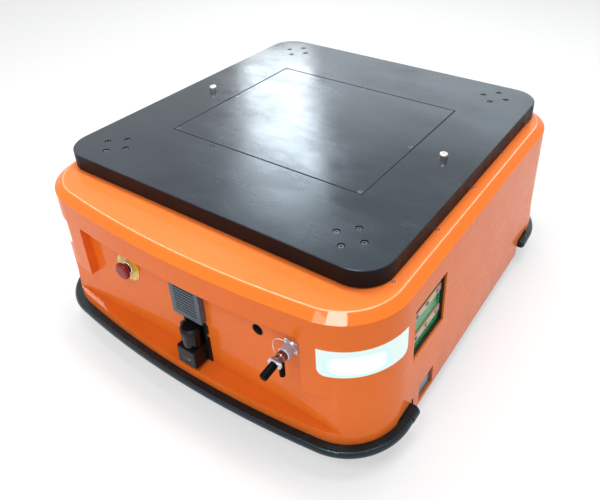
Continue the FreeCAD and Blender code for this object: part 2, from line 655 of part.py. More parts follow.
CAPS = [end_cap(side, y, toward, reach) for side in (-1, 1)
        for y, toward, reach in ((-s.front_bumper_end, 1, s.bumper_reach), (s.rear_bumper_end, -1, s.rear_bumper_reach))]
solid("bumper_end_caps", Part.makeCompound(CAPS))

# ---------------------------------------------------------------- chassis


def bar(wide, deep, high, x, y, z):
    """A box given by its middle in plan and its underside."""
    made = doc.addObject("Part::Box", "Bar")
    drive(made, "Length", wide)
    drive(made, "Width", deep)
    drive(made, "Height", high)
    drive(made, "Placement.Base.x", "(%s) - (%s) / 2" % (x, wide))
    drive(made, "Placement.Base.y", "(%s) - (%s) / 2" % (y, deep))
    drive(made, "Placement.Base.z", z)
    return made


def hidden(name, shape):
    thing = doc.addObject("Part::Feature", name)
    thing.Shape = shape
    return thing


carrier_in = s.bumper_flat + s.carrier_thickness
carrier_low = s.bumper_height - s.bumper_radius
deck = slab(s.bumper_flat, s.deck_height, s.deck_height + s.deck_thickness, UPPER)
front_band = slab(s.bumper_flat, carrier_low, s.deck_height, SKIRT).cut(slab(carrier_in, carrier_low, s.deck_height, SKIRT))
rear_band = slab(s.bumper_flat, carrier_low, s.deck_height, UPPER).cut(slab(carrier_in, carrier_low, s.deck_height, UPPER))
middle_length = box_between((-FAR, -s.notch_front, 0), (FAR, s.notch_rear, FAR))
sides = middle_length.cut(box_between((-s.rail_reach, -FAR, 0), (s.rail_reach, FAR, FAR)))
front_room = recess_tool(s.cover_wall + s.carrier_gap)
front_band = front_band.common(ahead_of(-s.notch_front)).cut(front_room)
rear_band = rear_band.common(behind(s.notch_rear))
scanner_room = box_between((s.scanner_x - pocket_half - s.carrier_gap, -FAR, s.deck_height - 1),
                           (s.scanner_x + pocket_half + s.carrier_gap, scanner_back + s.bracket_sheet + s.carrier_gap, FAR))
deck = deck.cut(sides).cut(front_room).cut(scanner_room)
rise = "plate_height - plate_skin - deck_height - deck_thickness"
post_x = ["plate_shift_x - cluster_x", "plate_shift_x + cluster_x"]
post_y = ["plate_shift_y - cluster_y", "plate_shift_y + cluster_y"]
rail_z = "ledge_height - cover_wall - rail_depth"
frame_parts = [hidden("Deck", deck), hidden("FrontCarrier", front_band), hidden("RearCarrier", rear_band)]
hollows = []
for x in post_x:
    for y in post_y:
        frame_parts.append(bar("post_width", "post_width", rise, x, y, "deck_height + deck_thickness"))
        hollows.append(bar("post_width - 2 * post_wall", "post_width - 2 * post_wall", rise + " - post_wall", x, y,
                           "deck_height + deck_thickness"))
frame_parts.append(bar("2 * rail_reach", "rail_width", "rail_depth", "0", post_y[0], rail_z))
frame_parts.append(bar("2 * rail_reach - 40", "rail_width", "rail_depth", "0", post_y[1], rail_z))
for side in (-1, 1):
    frame_parts.append(bar("rail_width", "4 * ledge_screw_pitch + 16", "rail_depth",
                           "%d * (rail_reach - rail_width / 2)" % side, "ledge_screw_middle", rail_z))
    frame_parts.append(bar("side_rail_thickness", "notch_front + notch_rear", "deck_height - side_rail_low",
                           "%d * side_rail_x" % side, "(notch_rear - notch_front) / 2", "side_rail_low"))
frame_parts.append(bar("side_rail_thickness", "charge_width + 2 * charge_tray",
                       "charge_z + charge_height / 2 - deck_height - deck_thickness", "side_rail_x",
                       "charge_y", "deck_height + deck_thickness"))
for side in (-1, 1):
    hollows.append(bar("well_width", "well_length", "deck_thickness + 2", "%d * drive_wheel_x" % side, "0",
                       "deck_height - 1"))
frame_form = doc.addObject("Part::MultiFuse", "FrameForm")
frame_form.Shapes = frame_parts
doc.recompute()
cut_from("base_frame", frame_form, hollows)

battery = block("battery_pack", "battery_width", "battery_length", "battery_height", "0", "battery_y",
                "deck_height + deck_thickness", "battery_round")
block("controller_box", "controller_width", "controller_length", "controller_height", "0", "controller_y",
      "deck_height + deck_thickness", "controller_round")

# ---------------------------------------------------------------- drive units

for side, hand in ((-1, "left"), (1, "right")):
    radius = s.drive_wheel_radius
    half = s.drive_wheel_width / 2
    rim = radius - s.drive_tyre
    middle = Vector(side * s.drive_wheel_x, 0, radius)
    outward = Vector(side, 0, 0)
    shaft = s.shaft_diameter / 2
    gear_face = half + s.gearbox_gap
    hub = turned("drive_hub_" + hand, [
        (0, -gear_face - s.shaft_entry), (shaft, -gear_face - s.shaft_entry), (shaft, -half), (shaft + 14, -half),
        (shaft + 16, -half + 12), (rim - 12, -half + 14), (rim - 8, -half + 2), (rim, -half + 2), (rim, half - 2),
        (rim - 8, half - 2), (rim - 12, half - 16), (shaft + 14, half - 18), (shaft + 10, half - 8), (0, half - 8)],
        middle, outward)
    tyre = turned("drive_tyre_" + hand, [
        (rim, -half + 2), (rim + 4, -half), (radius - 5, -half), (radius, -half + 5), (radius, half - 5),
        (radius - 5, half), (rim + 4, half), (rim, half - 2)], middle, outward)
    gear_x = "%d * (drive_wheel_x - drive_wheel_width / 2 - gearbox_gap - gearbox_length / 2)" % side
    unit = block("drive_motor_" + hand, "gearbox_length", "gearbox_width", "gearbox_width", gear_x, "0",
                 "deck_height - gearbox_width", None)
    sketch = sketch_on(unit, "YZ", "0", "drive_wheel_radius", gear_x)
    circle(sketch, "motor_diameter")
    extrude("Pad", unit, sketch, "motor_length + gearbox_length / 2", back=(side > 0))
    sketch = sketch_on(unit, "YZ", "0", "drive_wheel_radius", "%d * (drive_wheel_x - drive_wheel_width / 2)" % side)
    circle(sketch, "shaft_diameter + 2 * running_fit")
    extrude("Pocket", unit, sketch, "gearbox_gap + shaft_entry + 1", back=(side < 0))

# ---------------------------------------------------------------- casters

mount_low = s.deck_height - s.caster_plate_thickness
race_low = mount_low - s.caster_race_rise
crown_top = race_low - s.seat_gap
crown_low = crown_top - s.caster_crown
pin = s.king_pin / 2
race = s.caster_race / 2
mount = doc.addObject("PartDesign::Body", "CasterMount")
sketch = sketch_on(mount, "XY", lift="deck_height - caster_plate_thickness")
rectangle(sketch, "caster_plate_width", "caster_plate_width")
step = extrude("Pad", mount, sketch, "caster_plate_thickness")
step = ease("Fillet", mount, step, edges(step.Shape, straight_along(UP)), "caster_plate_thickness")
sketch = sketch_on(mount, "XY", lift="deck_height - caster_plate_thickness")
circle(sketch, "caster_race")
extrude("Pad", mount, sketch, "caster_race_rise", back=True)
sketch = sketch_on(mount, "XY", lift="deck_height - caster_plate_thickness - caster_race_rise")
circle(sketch, "king_pin + 2 * running_fit")
extrude("Pocket", mount, sketch, "caster_race_rise + caster_plate_thickness - 1", back=True)
CASTERS = [("front_left", -1, -1), ("front_right", 1, -1), ("rear_left", -1, 1), ("rear_right", 1, 1)]
copies("caster_plates", mount.Shape, [Vector(a * s.caster_x, b * s.caster_y, 0) for place, a, b in CASTERS])

leg_in = s.caster_width / 2 + s.caster_gap
leg_out = leg_in + s.caster_leg
axle = s.caster_axle / 2
crown = Part.makeCylinder(race, s.caster_crown, Vector(0, 0, crown_low))
yoke = box_between((-leg_out, -16, crown_low), (leg_out, race, crown_top))
leg_points = [(-16, crown_top), (race, crown_top), (s.caster_trail + 15, s.caster_radius + 5),
              (s.caster_trail + 12, s.caster_radius - 11), (s.caster_trail - 12, s.caster_radius - 11),
              (s.caster_trail - 17, s.caster_radius + 4)]
leg_wire = Part.makePolygon([Vector(leg_in, y, z) for y, z in leg_points + leg_points[:1]])
leg = Part.Face(leg_wire).extrude(Vector(s.caster_leg, 0, 0))
fork = crown.fuse([yoke, leg, leg.mirror(Vector(0, 0, 0), ACROSS)])
fork = fork.fuse(Part.makeCylinder(pin, s.caster_race_rise + s.seat_gap + s.caster_plate_thickness - 2, Vector(0, 0, crown_top)))
fork = fork.fuse(Part.makeCylinder(axle, 2 * leg_out + 4, Vector(-leg_out - 2, s.caster_trail, s.caster_radius), ACROSS))
fork = fork.removeSplitter()
half = s.caster_width / 2
bore = axle + s.running_fit
tread = s.caster_radius
wheel = turned("CasterWheel", [
    (bore, -half - 2), (bore + 7, -half - 2), (bore + 8, -half + 6), (tread - 16, -half + 8), (tread - 12, -half),
    (tread - 4, -half), (tread, -half + 6), (tread, half - 6), (tread - 4, half), (tread - 12, half),
    (tread - 16, half - 8), (bore + 8, half - 6), (bore + 7, half + 2), (bore, half + 2)],
    Vector(0, s.caster_trail, s.caster_radius), ACROSS, kept=False)
for place, a, b in CASTERS:
    spot = Vector(a * s.caster_x, b * s.caster_y, 0)
    copies("caster_fork_" + place, fork, [spot])
    copies("caster_wheel_" + place, wheel.Shape, [spot])

# ---------------------------------------------------------------- emergency stop

stop = Vector(s.stop_x, -s.recess_depth_y, s.stop_z)
plate_r = s.stop_plate / 2
rise = s.stop_plate_rise
stem = s.stop_stem / 2
bore = stem + s.running_fit
collar = s.stop_collar / 2
collar_top = rise + s.stop_collar_rise
turned("stop_plate", [(bore, 0), (plate_r, 0), (plate_r, rise - 0.6), (plate_r - 0.6, rise), (bore, rise)], stop, FRONT)
turned("stop_collar", [(bore, rise), (collar, rise), (collar, collar_top - 2), (collar - 2, collar_top), (bore, collar_top)],
       stop, FRONT)
cap_low = collar_top + s.stop_travel + 1
cap_high = cap_low + s.stop_cap_rise
cap = s.stop_cap / 2
inside = s.cover_wall + s.stop_stem_entry
turned("stop_button", [
    (0, -inside), (stem, -inside), (stem, cap_low), (cap - 3, cap_low), (cap, cap_low + 2.5), (cap, cap_high - 4.5),
    (cap - 1.5, cap_high - 2), (cap - 5, cap_high - 0.4), (0, cap_high)], stop, FRONT)
lean = s.stop_screws / 2 / math.sqrt(2)
dot = screw_shape(6, 1.6, 1.6, FRONT)
dot.translate(stop + FRONT * rise)
copies("stop_plate_screws", dot, [Vector(-lean, 0, lean), Vector(lean, 0, -lean)])
contact = block("stop_contact_block", "stop_block_width", "stop_block_depth", "stop_block_width", "stop_x",
                "cover_wall + stop_block_depth / 2 - recess_depth_y", "stop_z - stop_block_width / 2")
sketch = sketch_on(contact, "XZ", "stop_x", "stop_z", "recess_depth_y - cover_wall")
circle(sketch, "stop_stem + 2 * running_fit")
extrude("Pocket", contact, sketch, "stop_stem_entry + stop_travel + 1")

# ---------------------------------------------------------------- speaker

grille = new_body("speaker_cover")
sketch = sketch_on(grille, "XZ", "speaker_x", "speaker_low + speaker_height / 2", "recess_depth_y")
rectangle(sketch, "speaker_width", "speaker_height")
step = extrude("Pad", grille, sketch, "speaker_rise")
step = ease("Fillet", grille, step, edges(step.Shape, straight_along(FRONT)), "speaker_wall")
sketch = sketch_on(grille, "XZ", "speaker_x", "speaker_low + speaker_height / 2", "recess_depth_y")
rectangle(sketch, "speaker_width - 2 * speaker_wall", "speaker_height - 2 * speaker_wall")
extrude("Pocket", grille, sketch, "speaker_rise - speaker_wall", back=True)
sketch = sketch_on(grille, "XZ", "speaker_x", "speaker_low + speaker_height * 0.15", "recess_depth_y + speaker_rise")
rectangle(sketch, "speaker_width * 0.72", "speaker_slot")
slot = extrude("Pocket", grille, sketch, "speaker_wall + 1")
row = grille.newObject("PartDesign::LinearPattern", "SlotRow")
row.Originals = [slot]
row.Direction = (sketch, ["V_Axis"])
row.Occurrences = 10
drive(row, "Length", "9 * speaker_pitch")
grille.Tip = row
doc.recompute()

cone = s.speaker_cone / 2
back = -s.cover_wall
turned("speaker", [
    (0, back - 30), (18, back - 30), (18, back - 19), (cone - 2, back - 3), (cone + 4, back - 3), (cone + 4, back),
    (cone - 1, back), (9, back - 12), (5, back - 9), (0, back - 8)],
    Vector(s.speaker_x, -s.recess_depth_y, SPEAKER_Z), FRONT)

# ---------------------------------------------------------------- floor scanner

front = -s.recess_depth_y
left = s.bracket_x - s.bracket_half
right = s.bracket_x + s.bracket_half
neck = left + 15
sheet_outline = [
    (left, s.bracket_low), (right, s.bracket_low), (right, 167), (right - 9, 170), (right - 9, 174), (right, 177),
    (right, 196), (right - 8, s.bracket_high), (neck, s.bracket_high), (neck, 182), (left, 168)]
bracket = Part.Face(Part.makePolygon([Vector(x, front, z) for x, z in sheet_outline + sheet_outline[:1]]))
bracket = bracket.extrude(FRONT * s.bracket_sheet)
bracket = bracket.fuse(scanner_opening.common(behind(front)))
half = s.scanner_width / 2
socket = box_between((s.scanner_x - half, -FAR, s.scanner_low), (s.scanner_x + half, scanner_back, SCANNER_TOP - s.bracket_sheet))
bracket = bracket.cut(socket)
solid("scanner_bracket", bracket)

scanner_y = "(bracket_pocket - recess_depth_y - scanner_front) / 2"
base = block("scanner_base", "scanner_width", "scanner_front - recess_depth_y + bracket_pocket", "scanner_box", "scanner_x",
             scanner_y, "scanner_low", "4")
step = base.Tip
ease("Chamfer", base, step, edges(step.Shape, level_at(s.scanner_low + s.scanner_box)), "1.2")
middle_y = -s.scanner_front + s.scanner_width / 2
eye = Vector(s.scanner_x, middle_y, s.scanner_low + s.scanner_box)
wide = s.scanner_window / 2
high = s.scanner_window_rise
turned("scanner_window", [(0, 0), (wide, 0), (wide, high), (0, high)], eye, UP)
lid = s.scanner_head / 2
top = high + s.scanner_head_rise
turned("scanner_head", [(0, high), (lid, high), (lid, top - 4), (lid - 4, top), (0, top)], eye, UP)

# ---------------------------------------------------------------- round port

rim = s.port_diameter / 2
deep = s.port_depth
lining = rim - s.port_lining
turned("front_port", [
    (0, -deep - 3), (rim + s.port_ring, -deep - 3), (rim + s.port_ring, -s.cover_wall), (rim, -s.cover_wall),
    (rim, 0), (lining, 0), (lining, -deep), (0, -deep)], Vector(s.port_x, -s.recess_depth_y, s.port_z), FRONT)

# ---------------------------------------------------------------- service connector

root = Vector(s.plug_x, -s.recess_depth_y, s.plug_z)
flange = new_body("plug_flange")
sketch = sketch_on(flange, "XZ", "plug_x", "plug_z", "recess_depth_y")
rectangle(sketch, "plug_flange", "plug_flange")
step = extrude("Pad", flange, sketch, "plug_flange_rise")
ease("Fillet", flange, step, edges(step.Shape, straight_along(FRONT)), "plug_flange_rise")
sketch = sketch_on(flange, "XZ", "plug_x", "plug_z", "recess_depth_y")
circle(sketch, "plug_barrel")
extrude("Pad", flange, sketch, "plug_barrel_length", back=True)
sketch = sketch_on(flange, "XZ", "plug_x", "plug_z", "recess_depth_y + plug_flange_rise")
circle(sketch, "plug_barrel")
extrude("Pad", flange, sketch, "3")
ring_low = s.plug_flange_rise + 3
ring_high = ring_low + s.plug_ring_length
wide = s.plug_ring / 2
turned("plug_ring", [(0, ring_low), (wide - 1, ring_low), (wide, ring_low + 1), (wide, ring_high - 2), (wide - 2, ring_high),
                     (0, ring_high)], root, FRONT)
shell_high = ring_high + s.plug_shell_length
wide = s.plug_shell / 2
turned("plug_shell", [(0, ring_high), (wide, ring_high), (wide, ring_high + 8), (wide - 1.5, ring_high + 10),
                      (wide - 1.5, shell_high - 4), (wide + 1, shell_high - 2), (wide + 1, shell_high), (0, shell_high)],
       root, FRONT)
clamp_high = shell_high + s.plug_clamp_length
arm = s.plug_clamp_width / 2
jaw = box_between((-arm, -clamp_high, -5), (arm, -shell_high, 5))
jaw = jaw.makeFillet(3, [e for e in jaw.Edges if straight_along(FRONT)(e)])
jaw.translate(root)
solid("plug_clamp", jaw)
lean = math.atan2(s.plug_droop, s.plug_boot_length)
along = Vector(0, -math.cos(lean), -math.sin(lean))
boot = Part.makeCylinder(s.plug_boot / 2, s.plug_boot_length, root + FRONT * (clamp_high - 1), along)
boot = boot.makeChamfer(1.5, [e for e in boot.Edges if e.BoundBox.YMax < root.y - clamp_high - 10])
boot = boot.cut(box_between((-FAR, root.y - clamp_high, 0), (FAR, 0, FAR)))
branch_top = root + FRONT * (ring_high + 6) - UP * (s.plug_shell / 2 - 0.6)
branch = Part.makeCylinder(s.plug_branch / 2, s.plug_branch_length, branch_top, -UP)
branch = branch.makeChamfer(1.2, [e for e in branch.Edges if level_at(branch_top.z - s.plug_branch_length)(e)])
branch = branch.cut(Part.makeCylinder(s.plug_shell / 2, 40, root, FRONT))
solid("plug_boots", Part.makeCompound([boot, branch]))
dot = screw_shape(3.6, 1.5, 1, FRONT)
dot.translate(root + FRONT * s.plug_flange_rise)
reach = s.plug_flange / 2 - 3.4
copies("plug_screws", dot, [Vector(a * reach, 0, b * reach) for a in (-1, 1) for b in (-1, 1)])

LANYARD = [(-13, -6, 10), (-23, -9, 13), (-30, -13, 8), (-27, -19, -1), (-17, -25, -5), (-10.6, -29, -3.6)]


def cord(points, wide):
    """A wire along straight runs joined by arcs."""
    spots = [root + Vector(*p) for p in points]
    pieces = []
    start = spots[0]
    for i in range(1, len(spots) - 1):
        back = spots[i - 1] - spots[i]
        on = spots[i + 1] - spots[i]
        reach = 0.45 * min(back.Length, on.Length)
        back.normalize()
        on.normalize()
        first = spots[i] + back * reach
        last = spots[i] + on * reach
        half_turn = (math.pi - back.getAngle(on)) / 2
        radius = reach / math.tan(half_turn)
        inward = (back + on).normalize()
        middle = spots[i] + inward * (radius / math.cos(half_turn) - radius)
        pieces.append(Part.makeLine(start, first))
        pieces.append(Part.Arc(first, middle, last).toShape())
        start = last
    pieces.append(Part.makeLine(start, spots[-1]))
    path = Part.Wire(pieces)
    ring = Part.Wire([Part.makeCircle(wide / 2, spots[0], spots[1] - spots[0])])
    return path.makePipeShell([ring], True, True)


solid("plug_lanyard", cord(LANYARD, s.plug_wire))

# ---------------------------------------------------------------- charging contacts in the side

wall = s.cover_half_width - s.cover_wall
rail_face = s.side_rail_x + s.side_rail_thickness / 2
edge = s.charge_tray


def side_box(x_low, x_high, y, z, wide, high):
    return box_between((x_low, y - wide / 2, z - high / 2), (x_high, y + wide / 2, z + high / 2))


tray = side_box(rail_face, wall, s.charge_y, s.charge_z, s.charge_width + 2 * edge, s.charge_height + 2 * edge)
tray = tray.cut(side_box(rail_face + edge, FAR, s.charge_y, s.charge_z, s.charge_width, s.charge_height))
solid("charge_tray", tray)
board_face = s.cover_half_width - s.charge_board_back
board = side_box(rail_face + edge, board_face, s.charge_y, s.charge_z, s.charge_width - 2, s.charge_height - 2)
for end in (-1, 1):
    hole = side_box(0, FAR, s.charge_y + end * s.charge_slot_pitch / 2, s.charge_z, s.charge_slot_width, s.charge_slot_height)
    board = board.cut(hole.makeFillet(s.charge_slot_width * 0.45, [e for e in hole.Edges if straight_along(ACROSS)(e)]))
solid("charge_board", board)
strip = side_box(board_face, board_face + s.charge_strip_rise, s.charge_y, s.charge_z, s.charge_strip_length, s.charge_strip_width)
strip = strip.makeFillet(2, [e for e in strip.Edges if straight_along(ACROSS)(e)])
BARS = [UP * (end * s.charge_strip_split / 2) for end in (-1, 1)]
copies("charge_strips", strip, BARS)
stud = screw_shape(s.charge_screw, s.charge_screw_rise, s.charge_screw / 4, ACROSS)
stud.translate(Vector(board_face + s.charge_strip_rise, s.charge_y, s.charge_z))
copies("charge_screws", stud, [spot + Vector(0, k * s.charge_screw_pitch, 0) for spot in BARS for k in (-1, 0, 1)])

# ---------------------------------------------------------------- side floor sensor

eye = side_box(rail_face, wall, s.sensor_y, s.sensor_z, s.sensor_width + 8, s.sensor_height + 8)
eye = eye.cut(side_box(wall - s.sensor_back, FAR, s.sensor_y, s.sensor_z, s.sensor_width - 2, s.sensor_height - 2))
face = side_box(wall - s.sensor_back, wall - 1, s.sensor_y - 3, s.sensor_z + 3, s.sensor_width - 14, s.sensor_height - 14)
eye = eye.fuse(face.makeFillet(4, [e for e in face.Edges if straight_along(ACROSS)(e)]))
solid("side_sensor", eye)

# ---------------------------------------------------------------- write the nodes

doc.recompute()
for thing in doc.Objects:
    if "Invalid" in thing.State or "Error" in thing.State:
        raise RuntimeError("%s: %s" % (thing.Label, thing.State))
os.makedirs("parts", exist_ok=True)
for node, thing in NODES:
    shape = thing.Shape
    if shape.isNull() or not shape.isValid() or not shape.Solids:
        raise RuntimeError("no sound solid for " + node)
    shape.exportStep("parts/%s.step" % node)
    box = shape.BoundBox
    print("%-22s %d  %7.1f %7.1f %7.1f  %7.1f %7.1f %7.1f" % (
        node, len(shape.Solids), box.XMin, box.YMin, box.ZMin, box.XMax, box.YMax, box.ZMax))
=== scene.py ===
import json
import math

import bpy
from mathutils import Matrix, Vector


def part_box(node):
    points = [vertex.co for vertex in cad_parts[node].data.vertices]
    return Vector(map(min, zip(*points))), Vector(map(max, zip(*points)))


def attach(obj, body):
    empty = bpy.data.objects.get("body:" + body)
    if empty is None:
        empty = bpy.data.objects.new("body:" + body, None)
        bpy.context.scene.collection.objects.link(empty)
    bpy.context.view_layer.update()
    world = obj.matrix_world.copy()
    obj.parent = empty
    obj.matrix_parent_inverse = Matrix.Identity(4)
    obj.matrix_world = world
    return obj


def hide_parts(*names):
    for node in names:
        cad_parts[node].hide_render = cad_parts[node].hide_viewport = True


bl_info = {
    "name": "Mobile Robot Dresser",
    "version": (1, 0, 0),
    "blender": (4, 5, 0),
    "location": "3D View > Sidebar > Robot",
    "description": "Dresses the mobile robot's solids with finished surfaces and small parts",
    "category": "Object",
}

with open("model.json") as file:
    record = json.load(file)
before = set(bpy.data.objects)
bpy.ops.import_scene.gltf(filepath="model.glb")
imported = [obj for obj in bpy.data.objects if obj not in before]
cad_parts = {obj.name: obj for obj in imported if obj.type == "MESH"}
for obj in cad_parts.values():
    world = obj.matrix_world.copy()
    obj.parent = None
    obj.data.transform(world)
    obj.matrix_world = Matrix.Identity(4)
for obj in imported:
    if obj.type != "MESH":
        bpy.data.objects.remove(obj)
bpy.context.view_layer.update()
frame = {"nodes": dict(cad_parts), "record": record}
NODES = frame["nodes"]
RECORD = frame["record"]
SLOT_OF = {part["node"]: part["material_slot"] for part in RECORD["subparts"]}
BODY_OF = {node: body for body, members in RECORD["behaviour"]["bodies"].items() for node in members}
MM = 0.001
WELD = 0.00002  # corners nearer than this are one corner
NEAR = 0.00001  # how exactly a corner lies on a level
FLAT = math.radians(0.6)  # faces that differ by less are one flat area
PLATE_EDGE = 0.0008
THIN_EDGE = 0.0004
MOULDED_EDGE = 0.0015


# ---------------------------------------------------------------- settings


class RobotColours(bpy.types.PropertyGroup):
    """Colours a user may change"""

    cover: bpy.props.FloatVectorProperty(
        name="Housing", description="Paint of the housing", subtype="COLOR", size=3,
        default=(0.86, 0.17, 0.018), min=0, max=1)
    plate: bpy.props.FloatVectorProperty(
        name="Load plate", description="Coating of the load plate", subtype="COLOR", size=3,
        default=(0.01, 0.012, 0.016), min=0, max=1)
    bumper: bpy.props.FloatVectorProperty(
        name="Bumper", description="Rubber of the bumpers", subtype="COLOR", size=3,
        default=(0.008, 0.009, 0.01), min=0, max=1)
    lamp: bpy.props.FloatVectorProperty(
        name="Corner lamp", description="Light of the corner lamps", subtype="COLOR", size=3,
        default=(0.68, 0.72, 0.71), min=0, max=1)
    board: bpy.props.FloatVectorProperty(
        name="Contact board", description="Solder mask of the contact board", subtype="COLOR", size=3,
        default=(0.02, 0.32, 0.11), min=0, max=1)


class RobotSizes(bpy.types.PropertyGroup):
    """Sizes a user may change"""

    sheet_edge: bpy.props.FloatProperty(
        name="Sheet edge", description="Rounding of the housing's folded edges", unit="LENGTH",
        default=0.0015, min=0.0002, max=0.004)
    small_edge: bpy.props.FloatProperty(
        name="Small edge", description="Rounding of small machined edges", unit="LENGTH",
        default=0.0006, min=0.0001, max=0.002)
    knurl_depth: bpy.props.FloatProperty(
        name="Knurl depth", description="Depth of the grip on the connector's ring", unit="LENGTH",
        default=0.0006, min=0.0001, max=0.002)
    tread_depth: bpy.props.FloatProperty(
        name="Tread depth", description="Depth of the drive tyres' grooves", unit="LENGTH",
        default=0.003, min=0.001, max=0.006)


# ---------------------------------------------------------------- mesh helpers


def deselect():
    """Leave nothing selected."""
    for other in bpy.context.selected_objects:
        other.select_set(False)


def alone(obj):
    """Select one object only and make it active."""
    deselect()
    obj.select_set(True)
    bpy.context.view_layer.objects.active = obj


def edit(obj, mode="FACE"):
    """Enter edit mode with nothing selected."""
    alone(obj)
    bpy.ops.object.mode_set(mode="EDIT")
    bpy.ops.mesh.select_mode(type=mode)
    bpy.ops.mesh.select_all(action="DESELECT")


def leave():
    """Go back to object mode."""
    bpy.ops.object.mode_set(mode="OBJECT")


def choose(obj, test, kind="polygons"):
    """Select the faces or edges that pass a test, in edit mode, and return how many there are."""
    leave()
    count = 0
    for item in getattr(obj.data, kind):
        item.select = bool(test(item))
        count += item.select
    bpy.ops.object.mode_set(mode="EDIT")
    return count


def settle(obj):
    """Put the object's place into its mesh."""
    alone(obj)
    bpy.ops.object.transform_apply(location=True, rotation=True, scale=True)


def modify(obj, kind, **values):
    """Add a modifier and apply it."""
    alone(obj)
    modifier = obj.modifiers.new(kind.title(), kind)
    for name, value in values.items():
        setattr(modifier, name, value)
    bpy.ops.object.modifier_apply(modifier=modifier.name)


def smooth(obj, degrees):
    """Shade smooth, with edges sharper than an angle kept hard."""
    alone(obj)
    bpy.ops.object.shade_smooth_by_angle(angle=math.radians(degrees))


def merged(node, name, flat=True):
    """A copy of a CAD node with its loose triangles joined and, if asked, flat areas cleaned."""
    obj = bpy.data.objects.new(name, NODES[node].data.copy())
    bpy.context.scene.collection.objects.link(obj)
    edit(obj, "VERT")
    bpy.ops.mesh.select_all(action="SELECT")
    bpy.ops.mesh.remove_doubles(threshold=WELD)
    bpy.ops.mesh.customdata_custom_splitnormals_clear()
    bpy.ops.mesh.select_mode(type="FACE")
    bpy.ops.mesh.select_all(action="SELECT")
    if flat:
        bpy.ops.mesh.dissolve_limited(angle_limit=FLAT)
    leave()
    return obj


def finished(obj, node, finishes=()):
    """Give a piece its finishes and its body, and let it stand for its node."""
    obj.data.materials.clear()
    for name in finishes or (SLOT_OF[node],):
        obj.data.materials.append(finish(name))
    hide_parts(node)
    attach(obj, BODY_OF[node])
    return obj


def evened(obj):
    """Smooth shading with its normals weighted by the size of the faces."""
    smooth(obj, 40)
    modify(obj, "WEIGHTED_NORMAL", keep_sharp=True, weight=80)


def refined(node, edge, segments=2, angle=30, flat=True):
    """The node's form with rounded edges and smooth curves, standing for the node."""
    obj = merged(node, node + "_fine", flat)
    if edge:
        modify(obj, "BEVEL", width=edge, segments=segments, limit_method="ANGLE",
               angle_limit=math.radians(angle), use_clamp_overlap=True, miter_outer="MITER_ARC")
    evened(obj)
    return finished(obj, node)


def folded(node, edge):
    """The housing's form with its shoulder fold rounded and given a painted highlight line, standing for the
    node.
    """
    obj = merged(node, node + "_fine")
    slopes = {}
    for face in obj.data.polygons:
        for key in face.edge_keys:
            slopes.setdefault(key, []).append(face.normal.z)

    def on_shoulder(edge_item):
        """Where the sloping band meets the level ledge."""
        sides = sorted(slopes[edge_item.key])
        return len(sides) == 2 and 0.7 < sides[0] < 0.95 and sides[1] > 0.99

    edit(obj, "EDGE")
    if not choose(obj, on_shoulder, "edges"):
        raise RuntimeError("the housing has no shoulder fold")
    bpy.ops.transform.edge_bevelweight(value=1.0)
    leave()
    # the rounded fold gets the lighter enamel, a painted highlight line
    finished(obj, node, (SLOT_OF[node], "cover_fold"))
    modify(obj, "BEVEL", width=edge, segments=4, limit_method="WEIGHT", use_clamp_overlap=False, material=1)
    evened(obj)


def knurled_ring(name, depth):
    """A turned ring along Y whose side carries flat-bottomed grip grooves."""
    low, high = (Vector(v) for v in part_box(name))
    middle = (low + high) / 2
    length = high.y - low.y
    facets, play = 72, 0.0001
    front_edge, rear_edge, groove_edge = 0.0016, 0.0008, 0.0002
    deselect()
    bpy.ops.mesh.primitive_cylinder_add(vertices=facets, radius=(high.x - low.x) / 2 - play, depth=length,
                                        location=middle, rotation=(math.radians(90), 0, 0))
    ring = bpy.context.object
    ring.name = name + "_knurled"
    settle(ring)

    def at_level(index, level):
        """Whether a corner lies at a level along the ring's axis."""
        return abs(ring.data.vertices[index].co.y - level) < NEAR

    edit(ring, "EDGE")
    for level, edge_width, segments in ((low.y, front_edge, 3), (high.y, rear_edge, 2)):
        choose(ring, lambda edge: all(at_level(i, level) for i in edge.vertices), "edges")
        bpy.ops.mesh.bevel(offset=edge_width, segments=segments)
    leave()
    sides = [face for face in ring.data.polygons
             if abs(face.normal.y) < 0.05 and abs(face.center.y - middle.y) < length * 0.3]
    sides.sort(key=lambda face: math.atan2(face.center.z - middle.z, face.center.x - middle.x))
    grooves = {face.index for face in sides[::2]}
    edit(ring)
    choose(ring, lambda face: face.index in grooves)
    bpy.ops.mesh.inset(thickness=groove_edge, depth=-depth, use_individual=True)
    leave()
    smooth(ring, 30)
    finished(ring, name)


